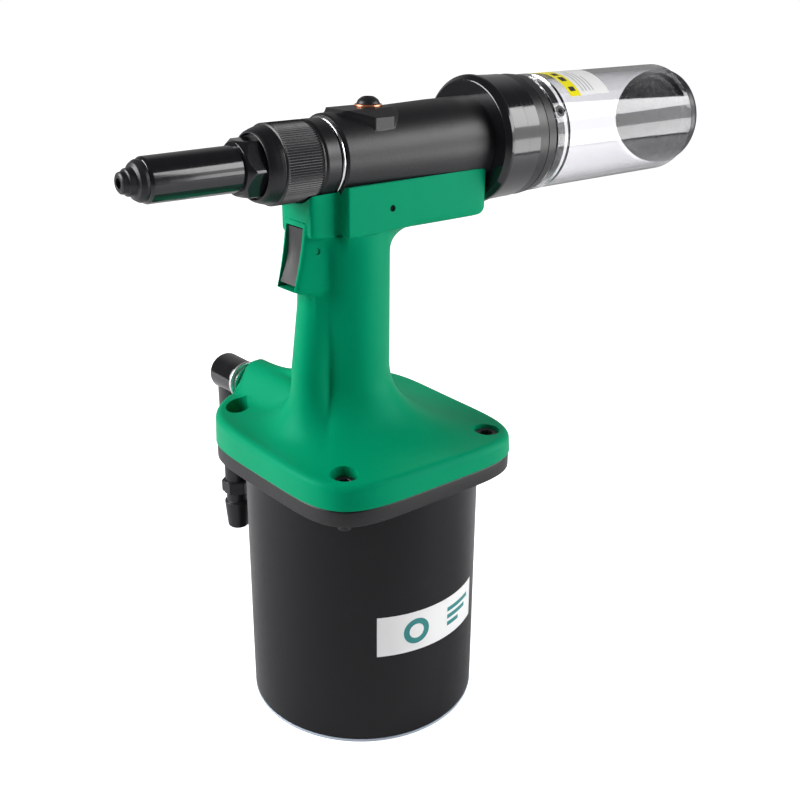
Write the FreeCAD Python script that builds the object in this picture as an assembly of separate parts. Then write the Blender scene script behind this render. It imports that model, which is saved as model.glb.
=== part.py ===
import FreeCAD, Part
import math
import os

# Pneumatic rivet gun with a vertical air cylinder. Millimetres, +Z up.
# The origin is the centre of the base pad's underside, on the air cylinder's axis.
# The barrel lies along X with its nose towards -X and its collection container towards +X.

# ------------------------------------------------------------------ driving dimensions
BARREL_Z = 241.7          # height of the barrel's axis
RUNNING = 0.05            # radial clearance of a running fit
GAP = 0.1                 # gap between flat faces that move past each other

CYLINDER_R = 50.0         # air cylinder, outside
CYLINDER_WALL = 3.0
CYLINDER_TOP = 111.3
PAD_HEIGHT = 1.7
FLANGE_HALF = 51.2        # half the side of the black flange
FLANGE_CORNER = 24.0
FLANGE_TOP = 118.3
COVER_HALF = 51.9         # half the side of the green base cover
COVER_POWER = 4.7         # how square the cover's outline is
SCREW_SPACING = 75.0      # square pattern of the cover screws
SCREW_SEAT = 119.8

RAM_R = 7.0               # hydraulic ram driven by the air piston
RAM_STROKE = 72.0
HEAD_BORE_R = 13.5        # hydraulic bore in the head
ROD_R = 6.9               # pull rod
PULL_RATIO = RAM_R ** 2 / (HEAD_BORE_R ** 2 - ROD_R ** 2)
PULL_STROKE = RAM_STROKE * PULL_RATIO

COLUMN_X = -4.0           # oil column inside the handle
COLUMN_R = 11.5
HANDLE_REAR_X = -6.5      # rear lobe of the handle's section
HANDLE_REAR_R = 16.8
HANDLE_FRONT_R = 9.5      # front lobe of the handle's section
SADDLE_HALF = 15.9
SADDLE_END = 54.0
SADDLE_BOTTOM = 213.6
SADDLE_TOP = 232.7

TRIGGER_PIVOT = (-27.0, 208.5)
TRIGGER_HALF = 5.0
STEM_Z = 201.0
STEM_R = 1.5

INLET_X = -24.0           # swivel axis of the air inlet
INLET_Z = 137.0
STEM_TUBE_R = 5.0
PLUG_Y = 66.0

BODY_FRONT = -18.0        # head casting's front face
BOSS_TOP = 259.2          # flat that the bleed screw's washer lies on
BLEED_X = 4.0
BODY_REAR = 55.2          # head casting's shoulder for the rear collar
NUT_R = 15.0
CONTAINER_R = 24.5
CONTAINER_WALL = 2.2
CONTAINER_FRONT = 85.1
CONTAINER_END = 185.6
SEAT_R = 21.9

NOSE_TIP = -101.5
HEXAGON_END = -48.0
JAW_GAP = 0.8


# ------------------------------------------------------------------ shape helpers
def vec(x, y, z):
    return FreeCAD.Vector(x, y, z)


def point_on_barrel(x, r):
    return vec(x, 0, BARREL_Z + r)


def turned_on_barrel(profile):
    """Turns a closed outline of (x, radius) points about the barrel's axis."""
    corners = [point_on_barrel(x, r) for x, r in profile]
    face = Part.Face(Part.makePolygon(corners + corners[:1]))
    return face.revolve(vec(0, 0, BARREL_Z), vec(1, 0, 0), 360)


def turned_upright(profile, x=0.0, y=0.0):
    """Turns a closed outline of (radius, z) points about a vertical axis."""
    corners = [vec(x + r, y, z) for r, z in profile]
    face = Part.Face(Part.makePolygon(corners + corners[:1]))
    return face.revolve(vec(x, y, 0), vec(0, 0, 1), 360)


def ring_on_barrel(x_start, x_end, r_out, r_in=0.0):
    solid = Part.makeCylinder(r_out, x_end - x_start, vec(x_start, 0, BARREL_Z), vec(1, 0, 0))
    if r_in > 0:
        solid = solid.cut(Part.makeCylinder(r_in, x_end - x_start, vec(x_start, 0, BARREL_Z), vec(1, 0, 0)))
    return solid


def ring_upright(z_start, z_end, r_out, r_in=0.0, x=0.0, y=0.0):
    solid = Part.makeCylinder(r_out, z_end - z_start, vec(x, y, z_start))
    if r_in > 0:
        solid = solid.cut(Part.makeCylinder(r_in, z_end - z_start, vec(x, y, z_start)))
    return solid


def ring_across(y_start, y_end, r_out, r_in, x, z):
    solid = Part.makeCylinder(r_out, y_end - y_start, vec(x, y_start, z), vec(0, 1, 0))
    if r_in > 0:
        solid = solid.cut(Part.makeCylinder(r_in, y_end - y_start, vec(x, y_start, z), vec(0, 1, 0)))
    return solid


def rounded_square(half, corner, z_start, z_end):
    block = Part.makeBox(2 * half, 2 * half, z_end - z_start, vec(-half, -half, z_start))
    upright = [edge for edge in block.Edges if abs(edge.tangentAt(edge.FirstParameter).z) > 0.9]
    return block.makeFillet(corner, upright)


def hexagon_prism(flats, height, centre, direction):
    """A hexagonal prism standing on centre, with the given width across its flats."""
    corner = flats / math.sqrt(3)
    bearings = [k * math.pi / 3 for k in range(7)]
    corners = [vec(corner * math.cos(a), corner * math.sin(a), 0) for a in bearings]
    prism = Part.Face(Part.makePolygon(corners)).extrude(vec(0, 0, height))
    prism.Placement = FreeCAD.Placement(centre, FreeCAD.Rotation(vec(0, 0, 1), direction))
    return prism


def coil_spring(centre, direction, mean_r, wire_r, length, turns):
    """A round-wire compression spring whose ends lie half a wire inside its length."""
    rise = length - 2 * wire_r
    helix = Part.makeHelix(rise / turns, rise, mean_r)
    section = Part.Wire(Part.makeCircle(wire_r, vec(mean_r, 0, 0), vec(0, 1, 0)))
    coil = Part.Wire(helix.Edges).makePipeShell([section], True, True)
    coil.translate(vec(0, 0, wire_r))
    turned = FreeCAD.Placement(centre, FreeCAD.Rotation(vec(0, 0, 1), direction))
    coil.Placement = turned.multiply(coil.Placement)
    return coil


def side_plate(outline, half_width):
    """Extrudes a closed outline of (x, z) points evenly to both sides of the middle plane."""
    corners = [vec(x, -half_width, z) for x, z in outline]
    return Part.Face(Part.makePolygon(corners + corners[:1])).extrude(vec(0, 2 * half_width, 0))


def top_plate(outline, z_start, z_end):
    """Extrudes a closed outline of (x, y) points upwards."""
    corners = [vec(x, y, z_start) for x, y in outline]
    return Part.Face(Part.makePolygon(corners + corners[:1])).extrude(vec(0, 0, z_end - z_start))


def screw_places():
    half = SCREW_SPACING / 2
    return [(sx * half, sy * half) for sx in (-1, 1) for sy in (-1, 1)]


# ------------------------------------------------------------------ air cylinder and base
def base_pad():
    return turned_upright([(0, 0), (49.4, 0), (50.0, 0.6), (50.0, PAD_HEIGHT), (46.9, PAD_HEIGHT),
                           (46.9, 3.2), (0, 3.2)])


def cylinder_floor():
    inside = CYLINDER_R - CYLINDER_WALL
    return turned_upright([(0, 3.2), (inside, 3.2), (inside, 9.5), (12, 9.5), (12, 7.5), (0, 7.5)])


def air_cylinder():
    inside = CYLINDER_R - CYLINDER_WALL
    return turned_upright([(inside, PAD_HEIGHT), (CYLINDER_R, PAD_HEIGHT), (CYLINDER_R, CYLINDER_TOP - 0.5),
                           (CYLINDER_R - 0.5, CYLINDER_TOP), (inside, CYLINDER_TOP)])


def base_flange():
    spigot_r = CYLINDER_R - CYLINDER_WALL
    plate = rounded_square(FLANGE_HALF, FLANGE_CORNER, CYLINDER_TOP, FLANGE_TOP)
    spigot = turned_upright([(0, 103.5), (spigot_r - 1, 103.5), (spigot_r, 104.5), (spigot_r, 106),
                             (spigot_r - 2.4, 106), (spigot_r - 2.4, 109), (spigot_r, 109),
                             (spigot_r, CYLINDER_TOP), (0, CYLINDER_TOP)])
    flange = plate.fuse(spigot).removeSplitter()
    flange = flange.cut(Part.makeCylinder(13.0, 20, vec(COLUMN_X, 0, 101)))
    for x, y in screw_places():
        flange = flange.cut(Part.makeCylinder(3.0, 20, vec(x, y, 105)))
    for x, y in column_screw_places():
        flange = flange.cut(Part.makeCylinder(2.0, 9.1, vec(x, y, FLANGE_TOP - 9)))
    return flange


def cylinder_seal():
    spigot_r = CYLINDER_R - CYLINDER_WALL
    return ring_upright(106, 109, spigot_r, spigot_r - 2.4)


def ram_gland():
    bore = RAM_R + RUNNING
    return turned_upright([(bore, 102), (16, 102), (16, 103.5), (13, 103.5), (13, FLANGE_TOP),
                           (bore, FLANGE_TOP), (bore, 112), (9.4, 112), (9.4, 109), (bore, 109)], COLUMN_X)


def ram_seal():
    return ring_upright(109, 112, 9.4, RAM_R + RUNNING, COLUMN_X)


def ram_rod():
    return turned_upright([(0, 11.2), (5, 11.2), (5, 20), (RAM_R, 20), (RAM_R, 123),
                           (RAM_R - 1, 124), (0, 124)], COLUMN_X)


def air_piston():
    outer = CYLINDER_R - CYLINDER_WALL - 0.3
    disc = turned_upright([(0, 15), (outer, 15), (outer, 18), (outer - 3, 18), (outer - 3, 22), (outer, 22),
                           (outer, 25), (16, 25), (16, 28), (0, 28)])
    hole = turned_upright([(0, 10), (5, 10), (5, 20), (RAM_R, 20), (RAM_R, 30), (0, 30)], COLUMN_X)
    return disc.cut(hole)


def air_piston_seal():
    inside = CYLINDER_R - CYLINDER_WALL
    return ring_upright(18, 22, inside - RUNNING, inside - 3.3)


def piston_nut():
    nut = hexagon_prism(16, 3.6, vec(COLUMN_X, 0, 11.4), vec(0, 0, 1))
    return nut.cut(Part.makeCylinder(5, 10, vec(COLUMN_X, 0, 8)))


# ------------------------------------------------------------------ head casting
def column_screw_places():
    return [(COLUMN_X + 18.5 * math.cos(a), 18.5 * math.sin(a))
            for a in (math.radians(45 + 90 * k) for k in range(4))]


def bleed_boss():
    """The raised pad on top of the barrel that the bleed screw seats on."""
    block = side_plate([(-15.5, 250), (-12.0, BOSS_TOP), (11.0, BOSS_TOP), (12.6, 250)], 8.5)
    long_edges = [edge for edge in block.Edges if abs(edge.tangentAt(edge.FirstParameter).y) > 0.9
                  and edge.CenterOfMass.z > 255]
    block = block.makeFillet(1.5, long_edges)
    for side in (-1, 1):
        trim = Part.makeBox(60, 8, 20, vec(-30, 0, 0))
        trim.rotate(vec(0, 0, 0), vec(1, 0, 0), side * 20)
        trim.translate(vec(0, side * 7.0 - (8 if side < 0 else 0), BOSS_TOP - 3.9))
        block = block.cut(trim)
    return block


def head_outside():
    tube = turned_on_barrel([(BODY_FRONT - 12, 0), (BODY_FRONT - 12, 11.6), (BODY_FRONT - 11.6, 12.0),
                             (BODY_FRONT, 12.0), (BODY_FRONT, 15.8), (BODY_FRONT + 0.8, 16.4), (-12, 16.5),
                             (15, 17.3), (35, 17.9), (BODY_REAR, 18.0), (BODY_REAR, 16.0),
                             (67.0, 16.0), (67.0, 0)])
    column = Part.makeCylinder(COLUMN_R, BARREL_Z - 14 - FLANGE_TOP, vec(COLUMN_X, 0, FLANGE_TOP))
    foot = turned_upright([(0, FLANGE_TOP), (23.5, FLANGE_TOP), (23.5, 123.3), (22.5, 124.3),
                           (0, 124.3)], COLUMN_X)
    return tube.fuse([column, foot, bleed_boss()])


def head_body():
    """Casting with the barrel, the oil column in the handle and the foot on the flange."""
    rod_bore = ROD_R + 0.1
    barrel_bore = turned_on_barrel([(-31, 0), (-31, rod_bore), (-16, rod_bore), (-16, 9.4), (-13, 9.4),
                                    (-13, rod_bore), (-10, rod_bore), (-10, HEAD_BORE_R),
                                    (68, HEAD_BORE_R), (68, 0)])
    column_bore = turned_upright([(0, 117), (RAM_R + RUNNING + 0.4, 117), (RAM_R + RUNNING + 0.4, 203),
                                  (0, 205)], COLUMN_X)
    oil_passage = Part.makeCylinder(1.0, 40, vec(-8.8, 0, 196))
    body = head_outside().cut([barrel_bore, column_bore, oil_passage])
    body = body.cut(Part.makeCylinder(3.0, 16, vec(BLEED_X, 0, BARREL_Z + 11)))
    for x, y in column_screw_places():
        body = body.cut(Part.makeCylinder(2.0, 8, vec(x, y, FLANGE_TOP - 1)))
    return body.removeSplitter()


def column_screws():
    screws = []
    for x, y in column_screw_places():
        shank = Part.makeCylinder(2.0, 13, vec(x, y, 111.3))
        head = Part.makeCylinder(3.5, 4, vec(x, y, 124.3))
        socket = hexagon_prism(3, 2.2, vec(x, y, 126.2), vec(0, 0, 1))
        screws.append(shank.fuse(head).removeSplitter().cut(socket))
    return Part.makeCompound(screws)


def bleed_screw():
    seat = BOSS_TOP + 0.9
    stem_low = BARREL_Z + HEAD_BORE_R + 0.4
    stem = Part.makeCylinder(3.0, seat - stem_low, vec(BLEED_X, 0, stem_low))
    head = turned_upright([(0, seat), (4.9, seat), (4.9, seat + 0.8), (4.4, seat + 2.0), (3.2, seat + 2.8),
                           (1.6, seat + 3.2), (0, seat + 3.2)], BLEED_X)
    socket = hexagon_prism(3, 2.6, vec(BLEED_X, 0, seat + 1.4), vec(0, 0, 1))
    return stem.fuse(head).removeSplitter().cut(socket)


def bleed_washer():
    return ring_upright(BOSS_TOP, BOSS_TOP + 0.9, 5.6, 3.0, BLEED_X)


def front_rod_seal():
    return ring_on_barrel(-16, -13, 9.4, ROD_R + RUNNING)


# ------------------------------------------------------------------ handle cover
def superellipse_radius(angle, half, power):
    spread = abs(math.cos(angle)) ** power + abs(math.sin(angle)) ** power
    return half / spread ** (1 / power)


def circle_reach(angle, centre_x, radius):
    """Distance from the handle's middle line to a circle's far side, along a bearing."""
    along = centre_x * math.cos(angle)
    under = radius ** 2 - centre_x ** 2 + along ** 2
    return along + math.sqrt(max(under, 0.0)) if under > 0 else 0.0


HANDLE_MID = -12.0        # both lobes are measured from this line


def handle_radius(angle, z):
    """Two round lobes, blended so that only a soft waist stays between them."""
    front_x = -29.3 - 5.2 * (190.0 - z) / 42.0
    rear = circle_reach(angle, HANDLE_REAR_X - HANDLE_MID, HANDLE_REAR_R)
    front = circle_reach(angle, front_x + HANDLE_FRONT_R - HANDLE_MID, HANDLE_FRONT_R)
    return (rear ** 8 + front ** 8) ** (1 / 8)


def cover_section(z, spread):
    """Closed spline between the handle's section (spread 0) and the base outline (spread 1)."""
    points = []
    for k in range(40):
        angle = math.radians(9 * k)
        grip = handle_radius(angle, max(z, 148.0))
        base = superellipse_radius(angle, COVER_HALF, COVER_POWER)
        x = HANDLE_MID * (1 - spread) + (grip + (base - grip) * spread) * math.cos(angle)
        y = (grip + (base - grip) * spread) * math.sin(angle)
        points.append(vec(x, y, z))
    curve = Part.BSplineCurve()
    curve.interpolate(Points=points, PeriodicFlag=True)
    return Part.Wire(curve.toShape())


def grip_and_base():
    """Base skirt, then a concave sweep that rises into the handle."""
    wall_top = 127.0
    levels = [(FLANGE_TOP, 0.985), (FLANGE_TOP + 1, 1.0), (wall_top - 1.5, 1.0), (wall_top, 0.97)]
    for k in range(1, 10):
        spread = 0.97 * (1 - k / 9)
        rise = (1 - spread / 0.97) ** 2.3
        levels.append((wall_top + 0.6 * k / 9 + 31 * rise, spread))
    levels += [(175.0, 0.0), (190.0, 0.0), (205.0, 0.0), (SADDLE_BOTTOM + 6, 0.0)]
    return Part.makeLoft([cover_section(z, spread) for z, spread in levels], True, True)


def trigger_housing():
    plan = top_plate([(-38, -6.3), (-30, -7.9), (-10, -9.5), (-10, 9.5), (-30, 7.9), (-38, 6.3)], 190, 229)
    side = side_plate([(-36.6, 193.0), (-32.6, 206.5), (-31.4, 218.0), (-30.6, 229.0), (-10, 229.0),
                       (-10, 191.0), (-29.0, 190.5)], 12)
    hood_low = Part.makePolygon([vec(-31.4, -7.6, 218), vec(-15, -9.2, 218), vec(-15, 9.2, 218),
                                 vec(-31.4, 7.6, 218), vec(-31.4, -7.6, 218)])
    hood_high = Part.makePolygon([vec(-30.6, -10.4, 229), vec(-15, -10.6, 229), vec(-15, 10.6, 229),
                                  vec(-30.6, 10.4, 229), vec(-30.6, -10.4, 229)])
    return plan.common(side).fuse(Part.makeLoft([hood_low, hood_high], True, True))


def saddle():
    block = Part.makeBox(SADDLE_END - BODY_FRONT, 2 * SADDLE_HALF, SADDLE_TOP - SADDLE_BOTTOM,
                         vec(BODY_FRONT, -SADDLE_HALF, SADDLE_BOTTOM))
    rear_low = [edge for edge in block.Edges if abs(edge.CenterOfMass.x - SADDLE_END) < 0.01
                and abs(edge.CenterOfMass.z - SADDLE_BOTTOM) < 0.01]
    block = block.makeFillet(7.0, rear_low)
    long_low = [edge for edge in block.Edges if abs(edge.CenterOfMass.z - SADDLE_BOTTOM) < 0.01
                and abs(abs(edge.CenterOfMass.y) - SADDLE_HALF) < 0.01]
    return block.makeFillet(3.0, long_low)


def inlet_hump():
    return Part.makeCylinder(10.2, 46, vec(INLET_X + 1, 4, INLET_Z - 0.5), vec(0, 1, 0))


def handle_cover():
    cover = grip_and_base().fuse([trigger_housing(), saddle(), inlet_hump()])
    cover = cover.cut(head_outside())
    nut_room = ring_on_barrel(-52, BODY_FRONT, NUT_R + 0.5)
    slot = side_plate([(-45, 193.6), (-27.6, 193.6), (-22.8, 203.0), (-22.8, 213.5), (-27.6, 217.8),
                       (-45, 217.8)], TRIGGER_HALF + 0.5)
    pocket = rounded_square(46.5, 19.0, FLANGE_TOP - 1, 123.3)
    posts = [Part.makeCylinder(8.0, 10, vec(x, y, FLANGE_TOP - 2)) for x, y in screw_places()]
    stem_hole = ring_across(6, 60, STEM_TUBE_R, 0, INLET_X, INLET_Z)
    valve_hole = Part.makeCylinder(4.5, 11.1, vec(-26.6, 0, STEM_Z), vec(1, 0, 0))
    trigger_pin_hole = ring_across(-12, 12, 1.5, 0, TRIGGER_PIVOT[0], TRIGGER_PIVOT[1])
    saddle_pin_hole = ring_across(-20, 20, 1.5, 0, 3.5, 222.4)
    cover = cover.cut([nut_room, slot, pocket.cut(posts), stem_hole, valve_hole,
                       trigger_pin_hole, saddle_pin_hole])
    for x, y in screw_places():
        cover = cover.cut(Part.makeCylinder(5.6, 20, vec(x, y, SCREW_SEAT)))
        cover = cover.cut(Part.makeCylinder(3.2, 6, vec(x, y, FLANGE_TOP - 2)))
    for x, y in column_screw_places():
        cover = cover.cut(Part.makeCylinder(3.8, 10, vec(x, y, FLANGE_TOP + 1)))
    return cover


def cover_screws():
    screws = []
    for x, y in screw_places():
        shank = Part.makeCylinder(3.0, SCREW_SEAT + 1 - 106, vec(x, y, 106))
        head = turned_upright([(0, SCREW_SEAT + 1), (5, SCREW_SEAT + 1), (5, 125.6), (4.5, 126.1),
                               (0, 126.1)], x, y)
        socket = hexagon_prism(5, 3.2, vec(x, y, 123.0), vec(0, 0, 1))
        screws.append(shank.fuse(head).removeSplitter().cut(socket))
    return Part.makeCompound(screws)


def screw_washers():
    return Part.makeCompound([ring_upright(SCREW_SEAT, SCREW_SEAT + 1, 5.6, 3.0, x, y)
                              for x, y in screw_places()])


def saddle_pins():
    """Two short pins, one each side, that key the cover to the casting."""
    pins = []
    for side in (-1, 1):
        start = vec(3.5, side * 12.4, 222.4)
        pins.append(Part.makeCylinder(1.5, 2.9, start, vec(0, side, 0)))
    return Part.makeCompound(pins).cut(head_outside())


# ------------------------------------------------------------------ trigger and air valve
def trigger():
    face = Part.Arc(vec(-31.0, -TRIGGER_HALF, 217.0), vec(-32.4, -TRIGGER_HALF, 206.3),
                    vec(-35.6, -TRIGGER_HALF, 195.6)).toShape()
    rest = [(-35.6, 195.6), (-33.0, 195.2), (-29.5, 198.5), (-29.5, 204.0), (-28.4, 206.1),
            (-24.9, 206.7), (-24.4, 208.5), (-25.4, 211.6), (-28.0, 216.4), (-31.0, 217.0)]
    back = Part.makePolygon([vec(x, -TRIGGER_HALF, z) for x, z in rest])
    outline = Part.Wire([face] + back.Edges)
    lever = Part.Face(outline).extrude(vec(0, 2 * TRIGGER_HALF, 0))
    return lever.cut(ring_across(-8, 8, 1.5 + RUNNING, 0, TRIGGER_PIVOT[0], TRIGGER_PIVOT[1]))


def trigger_pin():
    return ring_across(-7.4, 7.4, 1.5, 0, TRIGGER_PIVOT[0], TRIGGER_PIVOT[1])


def bore_along_x(x_start, x_end, radius, z):
    return Part.makeCylinder(radius, x_end - x_start, vec(x_start, 0, z), vec(1, 0, 0))


def valve_body():
    body = bore_along_x(-26.6, -15.6, 4.5, STEM_Z)
    body = body.cut(bore_along_x(-27, -22.5, STEM_R + RUNNING, STEM_Z))
    body = body.cut(bore_along_x(-22.5, -16.4, 3.1, STEM_Z))
    return body.cut(head_outside())


def valve_stem():
    pin = bore_along_x(-29.15, -22.0, STEM_R, STEM_Z)
    collar = bore_along_x(-22.0, -21.0, 2.9, STEM_Z)
    return pin.fuse(collar).removeSplitter()


def valve_spring():
    return coil_spring(vec(-21.0, 0, STEM_Z), vec(1, 0, 0), 2.3, 0.3, 4.6, 4)


# ------------------------------------------------------------------ air inlet
def inlet_stem():
    tube = ring_across(8.2, 69, STEM_TUBE_R, 3.0, INLET_X, INLET_Z)
    collar = ring_across(50.3, 51.6, 7.2, STEM_TUBE_R, INLET_X, INLET_Z)
    return tube.fuse(collar).removeSplitter()


def inlet_ring():
    return ring_across(51.6, 53.4, 8.8, STEM_TUBE_R, INLET_X, INLET_Z)


def swivel_elbow():
    hub = ring_across(53.4 + GAP, 73.0, 8.2, 0, INLET_X, INLET_Z)
    rims = [edge for edge in hub.Edges if edge.CenterOfMass.y > 72]
    hub = hub.makeFillet(1.2, rims[:1])
    leg = turned_upright([(0, 97), (6.0, 97), (6.0, INLET_Z), (0, INLET_Z)], INLET_X, PLUG_Y)
    elbow = hub.fuse(leg)
    elbow = elbow.cut(ring_across(50, 69.2, STEM_TUBE_R + RUNNING, 0, INLET_X, INLET_Z))
    return elbow.cut(turned_upright([(0, 96), (3.2, 96), (3.2, 133), (0, 133)], INLET_X, PLUG_Y))


def plug_nut():
    nut = hexagon_prism(12, 6.2, vec(INLET_X, PLUG_Y, 77.4), vec(0, 0, 1))
    neck = ring_upright(83.6, 97, 5.2, 0, INLET_X, PLUG_Y)
    neck = neck.fuse(nut).removeSplitter()
    return neck.cut(Part.makeCylinder(2.6, 30, vec(INLET_X, PLUG_Y, 70)))


def air_plug():
    """Male quick-coupling plug: a waist for the coupling's balls between two collars."""
    return turned_upright([(2.6, 59.0), (4.6, 59.0), (5.0, 59.4), (5.0, 63.2), (3.9, 64.4), (3.9, 66.6),
                           (5.9, 68.8), (5.9, 72.6), (4.4, 74.2), (4.4, 77.4), (2.6, 77.4)],
                          INLET_X, PLUG_Y)


# ------------------------------------------------------------------ nose
def nose_adapter():
    """Threaded coupling with the hexagon; the lock nut pulls its flange onto the head."""
    hexagon = hexagon_prism(20.0, HEXAGON_END + 57, vec(-57, 0, BARREL_Z), vec(1, 0, 0))
    neck = turned_on_barrel([(HEXAGON_END, 0), (HEXAGON_END, 9.4), (-38, 9.4), (-38, 12), (-30, 12),
                             (-30, 0)])
    adapter = hexagon.fuse(neck).removeSplitter()
    adapter = adapter.cut(turned_on_barrel([(-58, 0), (-58, 7.9), (-51, 7.9), (-51, ROD_R + 0.1),
                                            (-29, ROD_R + 0.1), (-29, 0)]))
    return adapter


def nose_housing():
    bore = ROD_R + 0.1
    return turned_on_barrel([(-93.3, 6.2), (-93.3, 7.5), (-92.4, 8.1), (-60, 8.4), (-57, 8.4), (-57, 7.9),
                             (-51, 7.9), (-51, bore), (-88, bore), (-88, 6.2)])


def nosepiece():
    return turned_on_barrel([(NOSE_TIP, 1.8), (NOSE_TIP, 3.0), (-100.9, 3.7), (-99.4, 4.0), (-98.6, 4.6),
                             (-96.6, 5.0), (-95.8, 6.4), (-94.4, 7.3), (-93.3, 7.3), (-93.3, 6.2),
                             (-88.4, 6.2), (-87.2, 3.6), (-87.2, 1.8)])


def lock_nut():
    """The hexagon behind the nose runs a little way into the nut's wide front opening."""
    shoulder = HEXAGON_END + 0.4
    return turned_on_barrel([(-49.9, 11.9), (-49.9, 12.3), (-48.9, 13.1), (-46.4, 13.9), (-43.5, 14.4),
                             (-43.2, NUT_R), (-27.6, NUT_R), (-27.0, 14.7), (-25.0, NUT_R),
                             (-20.0, NUT_R), (-19.3, 14.4), (-19.3, 12 + RUNNING),
                             (-38 - GAP, 12 + RUNNING), (-38 - GAP, 9.4 + RUNNING),
                             (shoulder, 9.4 + RUNNING), (shoulder, 11.9)])


def lock_ring():
    return turned_on_barrel([(-19.2, 12), (-19.2, 14.9), (-18.9, 15.3), (-18.3, 15.3), (-18, 14.9),
                             (-18, 12)])


# ------------------------------------------------------------------ pulling mechanism
def jaw_case():
    return turned_on_barrel([(-86, 3.9), (-86, 6.2), (-85.3, ROD_R), (-56, ROD_R), (-56, 5.9),
                             (-72, 5.9)])


def pull_piston():
    """Pull rod and hydraulic piston in one, drilled through for the spent mandrels."""
    hollow = 3.3
    return turned_on_barrel([(-56, 5.9), (-56, ROD_R), (-8, ROD_R), (-8, HEAD_BORE_R - RUNNING),
                             (-4, HEAD_BORE_R - RUNNING), (-4, 11), (-1, 11), (-1, HEAD_BORE_R - RUNNING),
                             (3, HEAD_BORE_R - RUNNING), (3, 5.6), (8, 5.6), (8, hollow), (-48, hollow),
                             (-48, 4.6), (-56, 4.6)])


def pull_piston_seal():
    return ring_on_barrel(-4, -1, HEAD_BORE_R - RUNNING, 11)


def mandrel_tube():
    return turned_on_barrel([(3.1, 5.6), (3.1, 6.6), (10.0, 6.6), (10.0, 4.55), (74.0, 4.55),
                             (74.0, 3.3), (8.0, 3.3), (8.0, 5.6)])


def jaw_cone(radial_gap):
    """The jaws' shared outside: a cone that fits the jaw case, drilled for the mandrel."""
    return turned_on_barrel([(-84.6, 1.55), (-84.6, 4.05 - radial_gap), (-72.9, 5.75 - radial_gap),
                             (-72.9, 4.2), (-74.5, 1.55)])


def jaw(number):
    """One third of the jaw cone, with flat gaps to its neighbours."""
    solid = jaw_cone(0.1)
    centre = vec(0, 0, BARREL_Z)
    axis = vec(1, 0, 0)
    for turn in (60, -60):
        trim = Part.makeBox(30, 20, 20, vec(-92, 0 if turn > 0 else -20, BARREL_Z - 10))
        trim.translate(vec(0, -JAW_GAP / 2 if turn > 0 else JAW_GAP / 2, 0))
        trim.rotate(centre, axis, turn + (120 * number))
        solid = solid.cut(trim)
    return solid


def jaw_pusher():
    return turned_on_barrel([(-73.7, 2.3), (-72.4, 4.5), (-72.4, 5.4), (-64.5, 5.4), (-64.5, 3.0),
                             (-56.5, 3.0), (-56.5, 2.3)])


def jaw_spring():
    return coil_spring(vec(-64.5, 0, BARREL_Z), vec(1, 0, 0), 3.9, 0.45, 16.5, 6)


def return_spring():
    return coil_spring(vec(10.0, 0, BARREL_Z), vec(1, 0, 0), 9.4, 1.0, 48.0, 7)


# ------------------------------------------------------------------ rear end and container
def rear_collar():
    bore = 4.55 + RUNNING
    return turned_on_barrel([(BODY_REAR, 16), (BODY_REAR, 24.0), (BODY_REAR + 1.4, 25.6), (59.4, 26.2),
                             (59.9, 25.7), (60.7, 25.7), (61.2, 26.4), (66.0, 26.9), (67.4, 26.0),
                             (67.4, 22.0), (68.0, 22.0), (68.0, 16.0), (71.0, 16.0), (71.0, bore),
                             (68.0, bore), (68.0, 10.6), (58.0, 10.6), (58.0, HEAD_BORE_R - 0.1),
                             (67.0, HEAD_BORE_R - 0.1), (67.0, 16)])


def exhaust_ring():
    return turned_on_barrel([(67.4, 22), (67.4, 25.0), (68.0, 25.5), (78.8, 25.5), (79.4, 25.0), (79.4, 22)])


def container_seat():
    """Spigot that the container slides over, with a groove for its seal."""
    return turned_on_barrel([(68, 16), (68, 22), (79.6, 22), (79.6, SEAT_R), (87.0, SEAT_R), (87.0, 19.9),
                             (89.4, 19.9), (89.4, SEAT_R), (91.4, SEAT_R), (92.0, 21.3), (92.0, 6.4),
                             (71.0, 6.4), (71.0, 16)])


def container_seal():
    return ring_on_barrel(87.0, 89.4, SEAT_R, 19.9)


def latch_ring():
    return turned_on_barrel([(79.6, SEAT_R + RUNNING), (79.6, 25.1), (80.2, 25.6), (84.4, 24.8),
                             (84.9, 24.4), (84.9, SEAT_R + RUNNING)])


def container_ring():
    ring = turned_on_barrel([(CONTAINER_FRONT, SEAT_R + RUNNING), (CONTAINER_FRONT, 24.2),
                             (CONTAINER_FRONT + 0.4, 24.7), (92.6, 24.7), (93.0, 24.3),
                             (93.0, SEAT_R + RUNNING)])
    return ring.cut(set_screw_bar(21.0, 27.0))


def set_screw_bar(r_start, r_end):
    direction = vec(0, -0.88, 0.47).normalize()
    start = vec(89.0, 0, BARREL_Z) + direction * r_start
    return Part.makeCylinder(1.2, r_end - r_start, start, direction)


def set_screw():
    return set_screw_bar(22.6, 24.4)


def collection_container():
    """Clear tube with a chamfered rear rim."""
    inner = CONTAINER_R - CONTAINER_WALL
    return turned_on_barrel([(93.0, inner), (93.0, CONTAINER_R), (178.6, CONTAINER_R),
                             (181.4, CONTAINER_R - 1.6), (181.4, inner)])


def end_cap():
    inner = CONTAINER_R - CONTAINER_WALL
    return turned_on_barrel([(174.0, 0), (174.0, 7.5), (176.0, 7.5), (176.0, 19.6), (174.6, 19.6),
                             (174.6, inner), (182.4, inner), (CONTAINER_END - 0.8, inner - 0.4),
                             (CONTAINER_END, inner - 1.2), (CONTAINER_END, 0)])


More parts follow.
